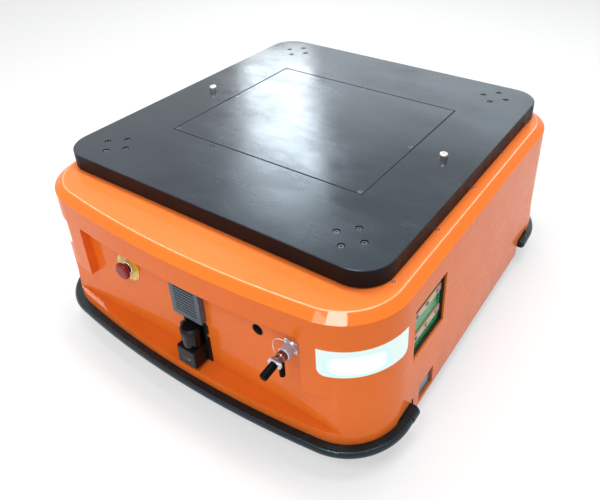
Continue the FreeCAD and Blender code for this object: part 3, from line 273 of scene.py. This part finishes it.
def treaded_tyre(name, depth):
    """A drive tyre along X with rounded shoulders and three staggered rows of cross grooves."""
    low, high = (Vector(v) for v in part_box(name))
    middle = (low + high) / 2
    radius, width = (high.z - low.z) / 2, high.x - low.x
    bore, shoulder, pitches = radius * 0.801, 0.004, 120
    tread_reach, middle_reach = 0.4 * width, 0.15 * width
    slack, groove_edge = 0.0001, 0.0004
    tread_low = radius - 0.0005
    deselect()
    bpy.ops.mesh.primitive_cylinder_add(vertices=pitches, radius=radius, depth=width, end_fill_type="NOTHING",
                                        location=middle, rotation=(0, math.radians(90), 0))
    tyre = bpy.context.object
    tyre.name = name + "_treaded"
    settle(tyre)

    def out(spot):
        """How far a spot lies from the axle."""
        return math.hypot(spot.y - middle.y, spot.z - middle.z)

    def choose_edges(test):
        """Select the edges whose corners both pass a test."""
        choose(tyre, lambda edge: all(test(tyre.data.vertices[i].co) for i in edge.vertices), "edges")

    edit(tyre, "EDGE")
    for aside in (-tread_reach, -middle_reach, middle_reach, tread_reach):
        bpy.ops.mesh.select_all(action="SELECT")
        bpy.ops.mesh.bisect(plane_co=(middle.x + aside, middle.y, middle.z), plane_no=(1, 0, 0))
    for end in (low.x, high.x):
        choose_edges(lambda spot: abs(spot.x - end) < NEAR)
        bpy.ops.mesh.extrude_region()
        bpy.ops.transform.resize(value=(1, bore / radius, bore / radius),
                                 center_override=(end, middle.y, middle.z))
    choose_edges(lambda spot: out(spot) < bore + slack)
    bpy.ops.mesh.bridge_edge_loops()
    choose_edges(lambda spot: abs(abs(spot.x - middle.x) - width / 2) < NEAR and out(spot) > radius - slack)
    bpy.ops.mesh.bevel(offset=shoulder, segments=3)
    leave()
    grooves = set()
    for face in tyre.data.polygons:
        aside = abs(face.center.x - middle.x)
        turn = math.atan2(face.center.z - middle.z, face.center.y - middle.y) / math.tau * pitches
        cut = 1 if aside < middle_reach else 0
        if out(face.center) > tread_low and aside < tread_reach and math.floor(turn) % 3 == cut:
            grooves.add(face.index)
    edit(tyre)
    if not choose(tyre, lambda face: face.index in grooves):
        raise RuntimeError("the tyre has no tread faces")
    bpy.ops.mesh.inset(thickness=groove_edge, depth=-depth, use_individual=True)
    bpy.ops.mesh.select_all(action="SELECT")
    bpy.ops.mesh.normals_make_consistent(inside=False)
    leave()
    smooth(tyre, 30)
    finished(tyre, name)


# ---------------------------------------------------------------- finishes

FINISHES = {}


def finish(slot):
    """The material of a slot, built when first asked for."""
    if slot not in FINISHES:
        FINISHES[slot] = MAKERS[slot](slot)
    return FINISHES[slot]


def start(name, colour, roughness, metallic=0.0):
    """A new material and its shader."""
    material = bpy.data.materials.new(name)
    material.use_nodes = True
    shader = material.node_tree.nodes["Principled BSDF"]
    shader.inputs["Base Color"].default_value = (*colour[:3], 1)
    shader.inputs["Metallic"].default_value = metallic
    shader.inputs["Roughness"].default_value = roughness
    return material, shader


def node(owner, kind, **inputs):
    """A new node of a material or of the sky, with numbers set on its inputs."""
    made = owner.node_tree.nodes.new(kind)
    for key, value in inputs.items():
        made.inputs[key].default_value = value
    return made


def link(owner, output, entry):
    """Join an output to an input."""
    owner.node_tree.links.new(output, entry)


def feed(owner, entry, value):
    """Give an input a number, a colour or another node's output."""
    if isinstance(value, bpy.types.NodeSocket):
        link(owner, value, entry)
    elif isinstance(value, (int, float)):
        entry.default_value = value
    else:
        entry.default_value = (*value[:3], 1)


def place(material, stretch=(1, 1, 1), turn=(0, 0, 0)):
    """Object coordinates, stretched and turned if asked."""
    where = node(material, "ShaderNodeTexCoord")
    mapping = node(material, "ShaderNodeMapping", Rotation=turn, Scale=stretch)
    link(material, where.outputs["Object"], mapping.inputs["Vector"])
    return mapping.outputs["Vector"]


def noise(material, scale, detail=3, stretch=(1, 1, 1), roughness=0.5, turn=(0, 0, 0)):
    """Soft irregular patches."""
    made = node(material, "ShaderNodeTexNoise", Scale=scale, Detail=detail, Roughness=roughness)
    link(material, place(material, stretch, turn), made.inputs["Vector"])
    return made.outputs["Fac"]


def spread(material, value, low, high, start_at=0.3, end_at=0.7):
    """A value mapped from one range to another and held at its ends."""
    made = node(material, "ShaderNodeMapRange",
                **{"From Min": start_at, "From Max": end_at, "To Min": low, "To Max": high})
    link(material, value, made.inputs["Value"])
    return made.outputs["Result"]


def tint(material, value, colour, other):
    """Two colours, plain or from nodes, mixed by a value."""
    made = node(material, "ShaderNodeMix")
    made.data_type = "RGBA"
    link(material, value, made.inputs["Factor"])
    feed(material, made.inputs["A"], colour)
    feed(material, made.inputs["B"], other)
    return made.outputs["Result"]


def calc(owner, operation, first, second=0.0):
    """One step of arithmetic on outputs or plain numbers."""
    made = node(owner, "ShaderNodeMath")
    made.operation = operation
    feed(owner, made.inputs[0], first)
    feed(owner, made.inputs[1], second)
    return made.outputs[0]


def along(material):
    """The three object coordinates as separate values."""
    where = node(material, "ShaderNodeTexCoord")
    split = node(material, "ShaderNodeSeparateXYZ")
    link(material, where.outputs["Object"], split.inputs["Vector"])
    return split.outputs


def ramp(material, value, stops, steps=False):
    """A colour ramp of (position, colour) stops, blended or in steps."""
    made = node(material, "ShaderNodeValToRGB")
    band = made.color_ramp
    band.interpolation = "CONSTANT" if steps else "LINEAR"
    band.elements[0].position, band.elements[1].position = stops[0][0], stops[-1][0]
    band.elements[0].color, band.elements[1].color = (*stops[0][1], 1), (*stops[-1][1], 1)
    for position, colour in stops[1:-1]:
        band.elements.new(position).color = (*colour, 1)
    link(material, value, made.inputs["Fac"])
    return made.outputs["Color"]


def bumps(material, shader, heights):
    """Stack bumps of (value, strength, distance) onto the shader's normal."""
    last = None
    for value, strength, distance in heights:
        made = node(material, "ShaderNodeBump", Strength=strength, Distance=distance)
        link(material, value, made.inputs["Height"])
        if last:
            link(material, last, made.inputs["Normal"])
        last = made.outputs["Normal"]
    link(material, last, shader.inputs["Normal"])


def shade(colour, amount):
    """A colour made darker or lighter."""
    return tuple(max(0.0, min(1.0, c * amount)) for c in colour[:3])


def paint(colour, rough=(0.3, 0.4), grain=700, depth=0.0002, metallic=0.0, coat=0.0, vary=0.12, patch=9,
          stretch=(1, 1, 1), gloss=0.5):
    """A maker of painted, moulded or metal finishes with fine grain and uneven gloss and colour."""

    def make(name):
        material, shader = start(name, colour, rough[0], metallic)
        broad = spread(material, noise(material, patch, 4, stretch), 0, 1)
        link(material, tint(material, broad, shade(colour, 1 - vary), shade(colour, 1 + vary)),
             shader.inputs["Base Color"])
        link(material, spread(material, noise(material, patch * 3.1, 5, stretch), rough[0], rough[1]),
             shader.inputs["Roughness"])
        bumps(material, shader, [(noise(material, grain, 2, stretch), 0.35, depth)])
        shader.inputs["Specular IOR Level"].default_value = gloss
        if coat:
            shader.inputs["Coat Weight"].default_value = coat
            shader.inputs["Coat Roughness"].default_value = 0.06
        return material

    return make


def settings():
    """The colours a user may change."""
    return bpy.context.scene.robot_colours


def cover_paint(name, colour=None):
    """Glossy enamel with faint orange peel, road dirt low down and a painted pale highlight on the level
    shoulder.
    """
    colour = colour or tuple(settings().cover)
    pale_highlight = (0.95, 0.46, 0.25)
    dirty_low, dirty_high = 0.04, 0.16
    shoulder_low, shoulder_high = 0.372, 0.379
    material, shader = start(name, colour, 0.3)
    height = along(material)["Z"]
    low_down = spread(material, height, 0.5, 0.0, dirty_low, dirty_high)
    dirt = calc(material, "MULTIPLY", low_down, spread(material, noise(material, 14, 5), 0.1, 1.0, 0.35, 0.7))
    # painted highlight: the shoulder and whatever rises above it are made paler, standing in for bright light
    # from above
    on_top = spread(material, height, 0.0, 0.3, shoulder_low, shoulder_high)
    painted_top_highlight = calc(material, "MULTIPLY", on_top, spread(material, noise(material, 4, 4), 0.6, 1.0))
    cloudy = spread(material, noise(material, 3.5, 3), 0, 1)
    clean = tint(material, cloudy, shade(colour, 0.97), shade(colour, 1.03))
    dirty = tint(material, dirt, clean, shade(colour, 0.62))
    link(material, tint(material, painted_top_highlight, dirty, pale_highlight), shader.inputs["Base Color"])
    link(material, spread(material, noise(material, 22, 6), 0.24, 0.34), shader.inputs["Roughness"])
    shader.inputs["Specular IOR Level"].default_value = 0.03
    shader.inputs["Coat Weight"].default_value = 0.37
    shader.inputs["Coat Roughness"].default_value = 0.035
    shader.inputs["Coat IOR"].default_value = 1.45
    peel, waves = noise(material, 420, 2), noise(material, 7, 2)
    bumps(material, shader, [(peel, 0.08, 0.0003), (waves, 0.05, 0.002)])
    return material


def fold_highlight_paint(name):
    """The same enamel, made lighter along the shoulder fold: a painted highlight line."""
    red, green, blue = settings().cover
    # painted highlight: the enamel's colour is lifted towards white along the fold
    material = cover_paint(name, (min(1.0, red * 1.12), green + 0.17, blue + 0.13))
    material.node_tree.nodes["Principled BSDF"].inputs["Coat Weight"].default_value = 0.8
    return material


def seam_grime(material):
    """Where dirt has collected along the access panel's outline."""
    low, high = (Vector(v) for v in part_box("access_panel"))
    middle, half = (low + high) / 2, (high - low) / 2
    where = along(material)
    seam, faded = 0.0014, 0.0026
    sides = []
    for axis, at, reach in (("X", middle.x, half.x), ("Y", middle.y, half.y)):
        aside = calc(material, "ABSOLUTE", calc(material, "SUBTRACT", where[axis], at))
        sides.append(calc(material, "SUBTRACT", aside, reach))
    off = calc(material, "ABSOLUTE", calc(material, "MAXIMUM", sides[0], sides[1]))
    return spread(material, off, 1.0, 0.0, seam, faded)


def scratches(material, turn):
    """Sparse straight handling scratches at an angle."""
    fine = noise(material, 1.0, 2, (9, 420, 9), turn=(0, 0, math.radians(turn)))
    lines = spread(material, fine, 0, 1, 0.7, 0.74)
    patches = spread(material, noise(material, 6 + turn / 30, 3), 0, 1, 0.5, 0.62)
    return calc(material, "MULTIPLY", lines, patches)


def plate_paint(name):
    """Satin black coating with wiped, uneven gloss, handling scratches and dirt in the panel's seam."""
    colour = tuple(settings().plate)
    bare = (0.16, 0.17, 0.18)
    material, shader = start(name, colour, 0.35)
    marks = calc(material, "MAXIMUM", scratches(material, 25), scratches(material, 110))
    cloudy = spread(material, noise(material, 5, 5), 0, 1)
    coated = tint(material, cloudy, shade(colour, 0.7), shade(colour, 1.4))
    rubbed = calc(material, "MULTIPLY", marks, 0.2)
    link(material, tint(material, rubbed, coated, bare), shader.inputs["Base Color"])
    wiped = spread(material, noise(material, 4, 7, (1.0, 2.0, 1.0), 0.66), 0.1, 0.34, 0.3, 0.72)
    worn = calc(material, "ADD", wiped, calc(material, "MULTIPLY", marks, 0.12))
    link(material, calc(material, "MAXIMUM", worn, seam_grime(material)), shader.inputs["Roughness"])
    shader.inputs["Specular IOR Level"].default_value = 0.65
    # painted reflection: a bluish specular tint stands in for a cool sky in the plate's reflections
    shader.inputs["Specular Tint"].default_value = (0.6, 0.83, 1.0, 1)
    bumps(material, shader, [(noise(material, 650, 3), 0.2, 0.0002), (noise(material, 6, 5), 0.1, 0.002)])
    return material


def lamp_light(name):
    """Frosted lens with a lit core, a cyan halo round it and a dimmer rim."""
    colour = tuple(settings().lamp)
    lens = (0.4, 0.48, 0.46)
    core_middle, core_reach = 0.42, 0.37
    core_drop, core_half_height = 0.003, 0.0255
    material, shader = start(name, lens, 0.18)
    low, high = (Vector(v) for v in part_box("corner_lamp_right"))
    where = along(material)
    length = (high.x - low.x) + (high.y - low.y)
    middle_at = low.x + low.y + core_middle * length
    round_corner = calc(material, "ADD", calc(material, "ABSOLUTE", where["X"]), where["Y"])
    across = calc(material, "SUBTRACT", round_corner, middle_at)
    across = calc(material, "DIVIDE", across, core_reach * length)
    level = (low.z + high.z) / 2 - core_drop
    upward = calc(material, "SUBTRACT", where["Z"], level)
    upward = calc(material, "DIVIDE", upward, core_half_height)
    edge = calc(material, "ADD", calc(material, "POWER", calc(material, "ABSOLUTE", across), 4),
                calc(material, "POWER", calc(material, "ABSOLUTE", upward), 4))
    halo = (colour[0] * 0.36, colour[1] * 0.8, colour[2] * 0.75)
    rim = (colour[0] * 0.6, colour[1] * 0.7, colour[2] * 0.69)
    glow = ramp(material, edge, [(0.0, colour), (0.28, shade(colour, 0.97)), (0.62, halo), (1.0, rim)])
    link(material, glow, shader.inputs["Emission Color"])
    shader.inputs["Emission Strength"].default_value = 1.0
    shader.inputs["Coat Weight"].default_value = 0.4
    bumps(material, shader, [(noise(material, 900, 2), 0.1, 0.0001)])
    return material


def board_mask(name):
    """Solder mask over copper: faint tracks under green lacquer."""
    colour = tuple(settings().board)
    material, shader = start(name, colour, 0.25)
    tracks = node(material, "ShaderNodeTexBrick", Scale=60)
    for entry, amount in (("Color1", 1.0), ("Color2", 0.85), ("Mortar", 1.5)):
        tracks.inputs[entry].default_value = (*shade(colour, amount), 1)
    tracks.inputs["Mortar Size"].default_value = 0.03
    link(material, place(material, turn=(0, math.radians(90), 0)), tracks.inputs["Vector"])
    link(material, tracks.outputs["Color"], shader.inputs["Base Color"])
    link(material, spread(material, noise(material, 90, 3), 0.2, 0.35), shader.inputs["Roughness"])
    bumps(material, shader, [(tracks.outputs["Fac"], 0.2, 0.0002), (noise(material, 800, 2), 0.1, 0.0001)])
    return material


def bumper_rubber(name):
    """Smooth extruded rubber whose reflections get a painted cool blue tint."""
    material = paint(tuple(settings().bumper), (0.2, 0.32), 500, vary=0.2, patch=12)(name)
    # painted reflection: a bluish specular tint stands in for a cool sky in the reflections
    material.node_tree.nodes["Principled BSDF"].inputs["Specular Tint"].default_value = (0.5, 0.78, 1.0, 1)
    return material


def scanner_shell(name):
    """Black moulding with a short row of indicator lights on the front."""
    material = paint((0.004, 0.004, 0.005), (0.3, 0.42), 1400, gloss=0.2)(name)
    shader = material.node_tree.nodes["Principled BSDF"]
    low, high = (Vector(v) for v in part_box("scanner_base"))
    where = along(material)
    lights = [(0.05, 0.07, 0.6), (0.9, 0.03, 0.02), (0.9, 0.03, 0.02), (0.8, 0.8, 0.85)]
    pitch, radius, skin = 0.0058, 0.0017, 0.001
    start_at = (low.x + high.x) / 2 - 0.009 - pitch / 2
    level = low.z + (high.z - low.z) * 0.42
    column = calc(material, "DIVIDE", calc(material, "SUBTRACT", where["X"], start_at), pitch)
    off_middle = calc(material, "SUBTRACT", calc(material, "FRACT", column), 0.5)
    aside = calc(material, "MULTIPLY", off_middle, pitch)
    height = calc(material, "SUBTRACT", where["Z"], level)
    squares = calc(material, "ADD", calc(material, "POWER", aside, 2), calc(material, "POWER", height, 2))
    dot = spread(material, calc(material, "SQRT", squares), 1.0, 0.0, radius * 0.6, radius)
    for test, value, limit in (("LESS_THAN", where["Y"], low.y + skin), ("GREATER_THAN", column, 0.0),
                               ("LESS_THAN", column, len(lights))):
        dot = calc(material, "MULTIPLY", dot, calc(material, test, value, limit))
    colours = ramp(material, calc(material, "DIVIDE", column, len(lights)),
                   [(k / len(lights), light) for k, light in enumerate(lights)], steps=True)
    link(material, tint(material, dot, (0, 0, 0), colours), shader.inputs["Emission Color"])
    shader.inputs["Emission Strength"].default_value = 0.9
    return material


MAKERS = {
    "cover_orange": cover_paint,
    "cover_fold": fold_highlight_paint,
    "plate_black": plate_paint,
    # painted shade: a darker, duller copy of the plate's coating for its side faces
    "plate_rim": paint((0.006, 0.006, 0.007), (0.4, 0.55), 650, gloss=0.12),
    "lamp_white": lamp_light,
    "board_green": board_mask,
    "bumper_rubber": bumper_rubber,
    "frame_black": paint((0.02, 0.02, 0.022), (0.4, 0.55)),
    "screw_black": paint((0.16, 0.16, 0.17), (0.22, 0.34), 1500, metallic=0.8),
    "pin_steel": paint((0.62, 0.6, 0.57), (0.18, 0.32), 900, metallic=1.0, stretch=(1, 1, 6)),
    "screw_steel": paint((0.7, 0.69, 0.67), (0.2, 0.32), 1500, metallic=1.0),
    "stop_yellow": paint((0.85, 0.52, 0.02), (0.25, 0.35), 900, coat=0.3),
    "chrome_trim": paint((0.7, 0.69, 0.68), (0.08, 0.16), 900, metallic=1.0),
    "stop_red": paint((0.27, 0.005, 0.005), (0.22, 0.3), 900, coat=0.1, gloss=0.2),
    "inner_plastic": paint((0.03, 0.03, 0.033), (0.45, 0.6)),
    "speaker_grey": paint((0.075, 0.1, 0.125), (0.42, 0.55), 1100),
    "bracket_black": paint((0.005, 0.005, 0.006), (0.35, 0.5), 1200, gloss=0.25),
    "scanner_black": scanner_shell,
    "scanner_glass": paint((0.003, 0.002, 0.003), (0.08, 0.14), 300, 0.0001, gloss=0.25),
    "port_black": paint((0.003, 0.003, 0.003), (0.6, 0.75)),
    "plug_steel": paint((0.72, 0.72, 0.73), (0.2, 0.34), 1500, metallic=0.85),
    # painted light: the chrome's bluish base offsets the orange light from the housing and stands in for cool
    # reflections
    "plug_chrome": paint((0.62, 0.7, 0.82), (0.12, 0.24), 1200, metallic=0.45, coat=0.3),
    "plug_bronze": paint((0.22, 0.13, 0.13), (0.12, 0.26), 1200, metallic=0.85),
    "boot_rubber": paint((0.002, 0.002, 0.002), (0.4, 0.55), 1400, gloss=0.04),
    "wire_steel": paint((0.6, 0.58, 0.56), (0.25, 0.4), 2500, metallic=1.0),
    "tray_black": paint((0.012, 0.012, 0.012), (0.4, 0.55)),
    "contact_copper": paint((0.66, 0.42, 0.3), (0.28, 0.42), 500, metallic=0.4, stretch=(1, 0.15, 1),
                            vary=0.2, patch=60),
    "contact_screws": paint((0.36, 0.33, 0.31), (0.25, 0.4), 1500, metallic=1.0),
    "sensor_grey": paint((0.2, 0.22, 0.23), (0.25, 0.4), 1200),
    "motor_grey": paint((0.2, 0.2, 0.21), (0.3, 0.45), 900, metallic=1.0),
    "hub_metal": paint((0.5, 0.5, 0.5), (0.22, 0.4), 800, metallic=1.0),
    "tyre_rubber": paint((0.025, 0.025, 0.026), (0.6, 0.8), 700, 0.0004),
    "caster_zinc": paint((0.5, 0.49, 0.46), (0.25, 0.45), 500, metallic=0.9),
    "caster_tread": paint((0.05, 0.05, 0.055), (0.45, 0.6), 800),
    "battery_case": paint((0.07, 0.07, 0.08), (0.35, 0.5), 900),
    "controller_case": paint((0.4, 0.4, 0.42), (0.3, 0.45), 900, metallic=0.9),
}


# ---------------------------------------------------------------- operators


class ROBOT_OT_finishes(bpy.types.Operator):
    """Give every solid its finish"""

    bl_idname = "robot.finishes"
    bl_label = "Finishes"

    def execute(self, context):
        for name, obj in NODES.items():
            obj.data.materials.clear()
            obj.data.materials.append(finish(SLOT_OF[name]))
        return {"FINISHED"}


class ROBOT_OT_housing(bpy.types.Operator):
    """Round the folded edges of the housing"""

    bl_idname = "robot.housing"
    bl_label = "Housing"

    def execute(self, context):
        folded("body_cover", context.scene.robot_sizes.sheet_edge)
        return {"FINISHED"}


class ROBOT_OT_load_plate(bpy.types.Operator):
    """Refine the load plate, the access panel and the pins"""

    bl_idname = "robot.load_plate"
    bl_label = "Load plate"

    def execute(self, context):
        small = context.scene.robot_sizes.small_edge
        plate = refined("top_plate", PLATE_EDGE)
        # the side faces get the darker copy of the coating, a painted shade
        plate.data.materials.append(finish("plate_rim"))
        edit(plate)
        choose(plate, lambda face: abs(face.normal.z) < 0.5)
        plate.active_material_index = 1
        bpy.ops.object.material_slot_assign()
        leave()
        refined("access_panel", THIN_EDGE)
        for name in ("locating_pins", "plate_mount_screws", "access_panel_screws", "cover_screws"):
            refined(name, small * 0.6)
        return {"FINISHED"}


class ROBOT_OT_bumpers(bpy.types.Operator):
    """Smooth the rubber bumpers and their caps"""

    bl_idname = "robot.bumpers"
    bl_label = "Bumpers"

    def execute(self, context):
        for name in ("front_bumper", "rear_bumper", "bumper_end_caps"):
            refined(name, MOULDED_EDGE, segments=3, angle=40)
        return {"FINISHED"}


class ROBOT_OT_front_fittings(bpy.types.Operator):
    """Refine lamps, emergency stop, speaker, scanner and port"""

    bl_idname = "robot.front_fittings"
    bl_label = "Front fittings"

    def execute(self, context):
        small = context.scene.robot_sizes.small_edge
        for name in ("corner_lamp_left", "corner_lamp_right"):
            refined(name, MOULDED_EDGE, segments=3)
        refined("speaker_cover", 0, flat=False)
        for name in ("stop_plate", "stop_collar", "stop_button", "stop_plate_screws", "scanner_bracket",
                     "scanner_base", "scanner_window", "scanner_head", "front_port"):
            refined(name, small)
        return {"FINISHED"}


class ROBOT_OT_connector(bpy.types.Operator):
    """Refine the service connector"""

    bl_idname = "robot.connector"
    bl_label = "Connector"

    def execute(self, context):
        small = context.scene.robot_sizes.small_edge * 0.7
        for name in ("plug_flange", "plug_clamp", "plug_boots", "plug_screws"):
            refined(name, small)
        shell = refined("plug_shell", small)
        shell.data.materials[0] = finish("plug_bronze")
        knurled_ring("plug_ring", context.scene.robot_sizes.knurl_depth)
        return {"FINISHED"}


LANYARD = [(-13, -6, 10), (-23, -9, 13), (-30, -13, 8), (-27, -19, -1), (-17, -25, -5), (-10.6, -29, -3.6)]
LANYARD_WIRE = 0.0018
LANYARD_SETBACK = 0.006


class ROBOT_OT_lanyard(bpy.types.Operator):
    """Thin wire that keeps the connector's cap from being lost"""

    bl_idname = "robot.lanyard"
    bl_label = "Lanyard"

    def execute(self, context):
        low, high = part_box("plug_flange")
        root = Vector(((low[0] + high[0]) / 2, low[1] + LANYARD_SETBACK, (low[2] + high[2]) / 2))
        curve = bpy.data.curves.new("lanyard_wire", "CURVE")
        curve.dimensions = "3D"
        curve.bevel_depth = LANYARD_WIRE / 2
        curve.bevel_resolution = 4
        curve.resolution_u = 16
        curve.use_fill_caps = True
        spline = curve.splines.new("NURBS")
        spline.points.add(len(LANYARD) - 1)
        for point, spot in zip(spline.points, LANYARD):
            point.co = (*(root + Vector(spot) * MM), 1)
        spline.order_u = 3
        spline.use_endpoint_u = True
        wire = bpy.data.objects.new("lanyard_wire", curve)
        context.scene.collection.objects.link(wire)
        finished(wire, "plug_lanyard")
        return {"FINISHED"}


class ROBOT_OT_charging(bpy.types.Operator):
    """Refine the charging contacts and the floor sensor"""

    bl_idname = "robot.charging"
    bl_label = "Charging contacts"

    def execute(self, context):
        for name in ("charge_board", "charge_strips", "charge_screws", "side_sensor"):
            refined(name, THIN_EDGE)
        return {"FINISHED"}


class ROBOT_OT_running_gear(bpy.types.Operator):
    """Refine the drive wheels and the casters"""

    bl_idname = "robot.running_gear"
    bl_label = "Running gear"

    def execute(self, context):
        small = context.scene.robot_sizes.small_edge
        for name in NODES:
            if name.startswith(("drive_hub", "drive_motor", "caster_")):
                refined(name, small)
            elif name.startswith("drive_tyre"):
                treaded_tyre(name, context.scene.robot_sizes.tread_depth)
        return {"FINISHED"}


class ROBOT_OT_studio(bpy.types.Operator):
    """Floor, lamps, sky and camera"""

    bl_idname = "robot.studio"
    bl_label = "Studio"

    def execute(self, context):
        floor_and_sky()
        lamps()
        camera()
        context.scene.view_settings.view_transform = "Standard"
        return {"FINISHED"}


# ---------------------------------------------------------------- studio


def shown_rays(owner):
    """One for the rays that see the plain background: from the camera, a gloss or a clear piece."""
    path = node(owner, "ShaderNodeLightPath")
    camera_or_gloss = calc(owner, "MAXIMUM", path.outputs["Is Camera Ray"], path.outputs["Is Glossy Ray"])
    return calc(owner, "MAXIMUM", camera_or_gloss, path.outputs["Is Transmission Ray"])


def blend(owner, value, first, other, end):
    """Two shaders mixed by a value and sent to the end of the tree."""
    made = node(owner, "ShaderNodeMixShader")
    link(owner, value, made.inputs["Fac"])
    link(owner, first, made.inputs[1])
    link(owner, other, made.inputs[2])
    link(owner, made.outputs["Shader"], owner.node_tree.nodes[end].inputs["Surface"])


def floor_and_sky():
    """A pale floor that keeps the shadow, under a plain white sky."""
    deselect()
    bpy.ops.mesh.primitive_plane_add(size=12, location=(0, 0, -0.0005))
    floor = bpy.context.object
    floor.name = "studio_floor"
    material, shader = start("studio_floor", (0.86, 0.86, 0.86), 0.6)
    link(material, spread(material, noise(material, 0.7, 3), 0.55, 0.7), shader.inputs["Roughness"])
    white = node(material, "ShaderNodeEmission", Color=(1, 1, 1, 1), Strength=1.0)
    shown = calc(material, "MULTIPLY", shown_rays(material), 0.55)
    blend(material, shown, shader.outputs["BSDF"], white.outputs["Emission"], "Material Output")
    floor.data.materials.append(material)
    sky = bpy.data.worlds.new("studio_sky")
    bpy.context.scene.world = sky
    sky.use_nodes = True
    soft = sky.node_tree.nodes["Background"]
    soft.inputs["Color"].default_value = (0.96, 0.98, 1.0, 1)
    soft.inputs["Strength"].default_value = 0.45
    white = node(sky, "ShaderNodeBackground", Color=(1, 1, 1, 1), Strength=1.0)
    blend(sky, shown_rays(sky), soft.outputs["Background"], white.outputs["Background"], "World Output")


def lamp(name, place_at, aim_at, size, power, colour=(1, 1, 1), gloss_only=False):
    """A soft panel lamp, or a round one that only glossy surfaces show."""
    data = bpy.data.lights.new(name, "AREA")
    data.shape = "ELLIPSE" if gloss_only else "RECTANGLE"
    data.size, data.size_y = size
    data.energy = power
    data.color = colour
    obj = bpy.data.objects.new(name, data)
    bpy.context.scene.collection.objects.link(obj)
    obj.location = place_at
    direction = Vector(aim_at) - Vector(place_at)
    obj.rotation_euler = direction.to_track_quat("-Z", "Y").to_euler()
    obj.visible_diffuse = not gloss_only


def lamps():
    """Soft light from above, and narrower lamps that the plate and the folds mirror."""
    lamp("key_softbox", (0.2, -1.9, 2.7), (0, -0.1, 0.2), (1.1, 0.65), 26)
    lamp("shoulder_glint", (0.65, -1.36, 2.7), (0.36, -0.45, 0.38), (0.85, 0.6), 48, gloss_only=True)
    lamp("top_strip", (0.1, 0.05, 2.7), (0.1, -0.2, 0.3), (2.6, 0.4), 54)
    lamp("window", (-1.87, 2.15, 1.9), (0, 0.1, 0.4), (0.5, 1.05), 17, (0.95, 0.98, 1.0))
    lamp("left_edge_strip", (-1.2, -0.34, 1.85), (0, -0.48, 0.375), (0.16, 1.4), 7)
    lamp("right_edge_strip", (0.54, 1.5, 1.55), (0.42, 0, 0.375), (0.16, 1.3), 6)
    lamp("far_wall", (-0.6, 2.4, 1.35), (0.1, 0.2, 0.4), (1.8, 0.7), 5, (0.85, 0.94, 1.0))


def camera():
    """Camera at the height and side from which the robot is usually shown."""
    place_at = (0.7508, -1.0175, 1.0770)
    turn, rise, roll = math.radians(34.19), math.radians(31.28), math.radians(-1.04)
    data = bpy.data.cameras.new("camera")
    obj = bpy.data.objects.new("camera", data)
    bpy.context.scene.collection.objects.link(obj)
    back = Vector((math.sin(turn) * math.cos(rise), -math.cos(turn) * math.cos(rise), math.sin(rise)))
    right = Vector((math.cos(turn), math.sin(turn), 0))
    up = back.cross(right)
    right_rolled = right * math.cos(roll) + up * math.sin(roll)
    up_rolled = up * math.cos(roll) - right * math.sin(roll)
    axes = Matrix((right_rolled, up_rolled, back)).transposed()
    obj.matrix_world = Matrix.Translation(place_at) @ axes.to_4x4()
    data.sensor_width = 36
    data.lens = 37.24
    data.shift_x = -0.0607
    data.shift_y = -0.140
    data.clip_end = 50
    bpy.context.scene.camera = obj


class ROBOT_PT_panel(bpy.types.Panel):
    """Sidebar panel with the robot's colours, sizes and steps"""

    bl_idname = "ROBOT_PT_panel"
    bl_label = "Mobile robot"
    bl_space_type = "VIEW_3D"
    bl_region_type = "UI"
    bl_category = "Robot"

    def draw(self, context):
        for group in (context.scene.robot_colours, context.scene.robot_sizes):
            for name in group.__annotations__:
                self.layout.prop(group, name)
        for step in STEPS:
            self.layout.operator(step.bl_idname)


STEPS = (ROBOT_OT_studio, ROBOT_OT_lanyard, ROBOT_OT_finishes, ROBOT_OT_housing, ROBOT_OT_load_plate,
         ROBOT_OT_bumpers, ROBOT_OT_front_fittings, ROBOT_OT_connector, ROBOT_OT_charging,
         ROBOT_OT_running_gear)
CLASSES = (RobotColours, RobotSizes, *STEPS, ROBOT_PT_panel)


def register():
    """Add the settings, the steps and the panel."""
    for cls in CLASSES:
        bpy.utils.register_class(cls)
    bpy.types.Scene.robot_colours = bpy.props.PointerProperty(type=RobotColours)
    bpy.types.Scene.robot_sizes = bpy.props.PointerProperty(type=RobotSizes)


def unregister():
    """Take them away again."""
    del bpy.types.Scene.robot_sizes
    del bpy.types.Scene.robot_colours
    for cls in reversed(CLASSES):
        bpy.utils.unregister_class(cls)


def main():
    """Run the steps in order."""
    register()
    for step in STEPS:
        group, name = step.bl_idname.split(".")
        getattr(getattr(bpy.ops, group), name)()


if __name__ == "__main__":
    main()
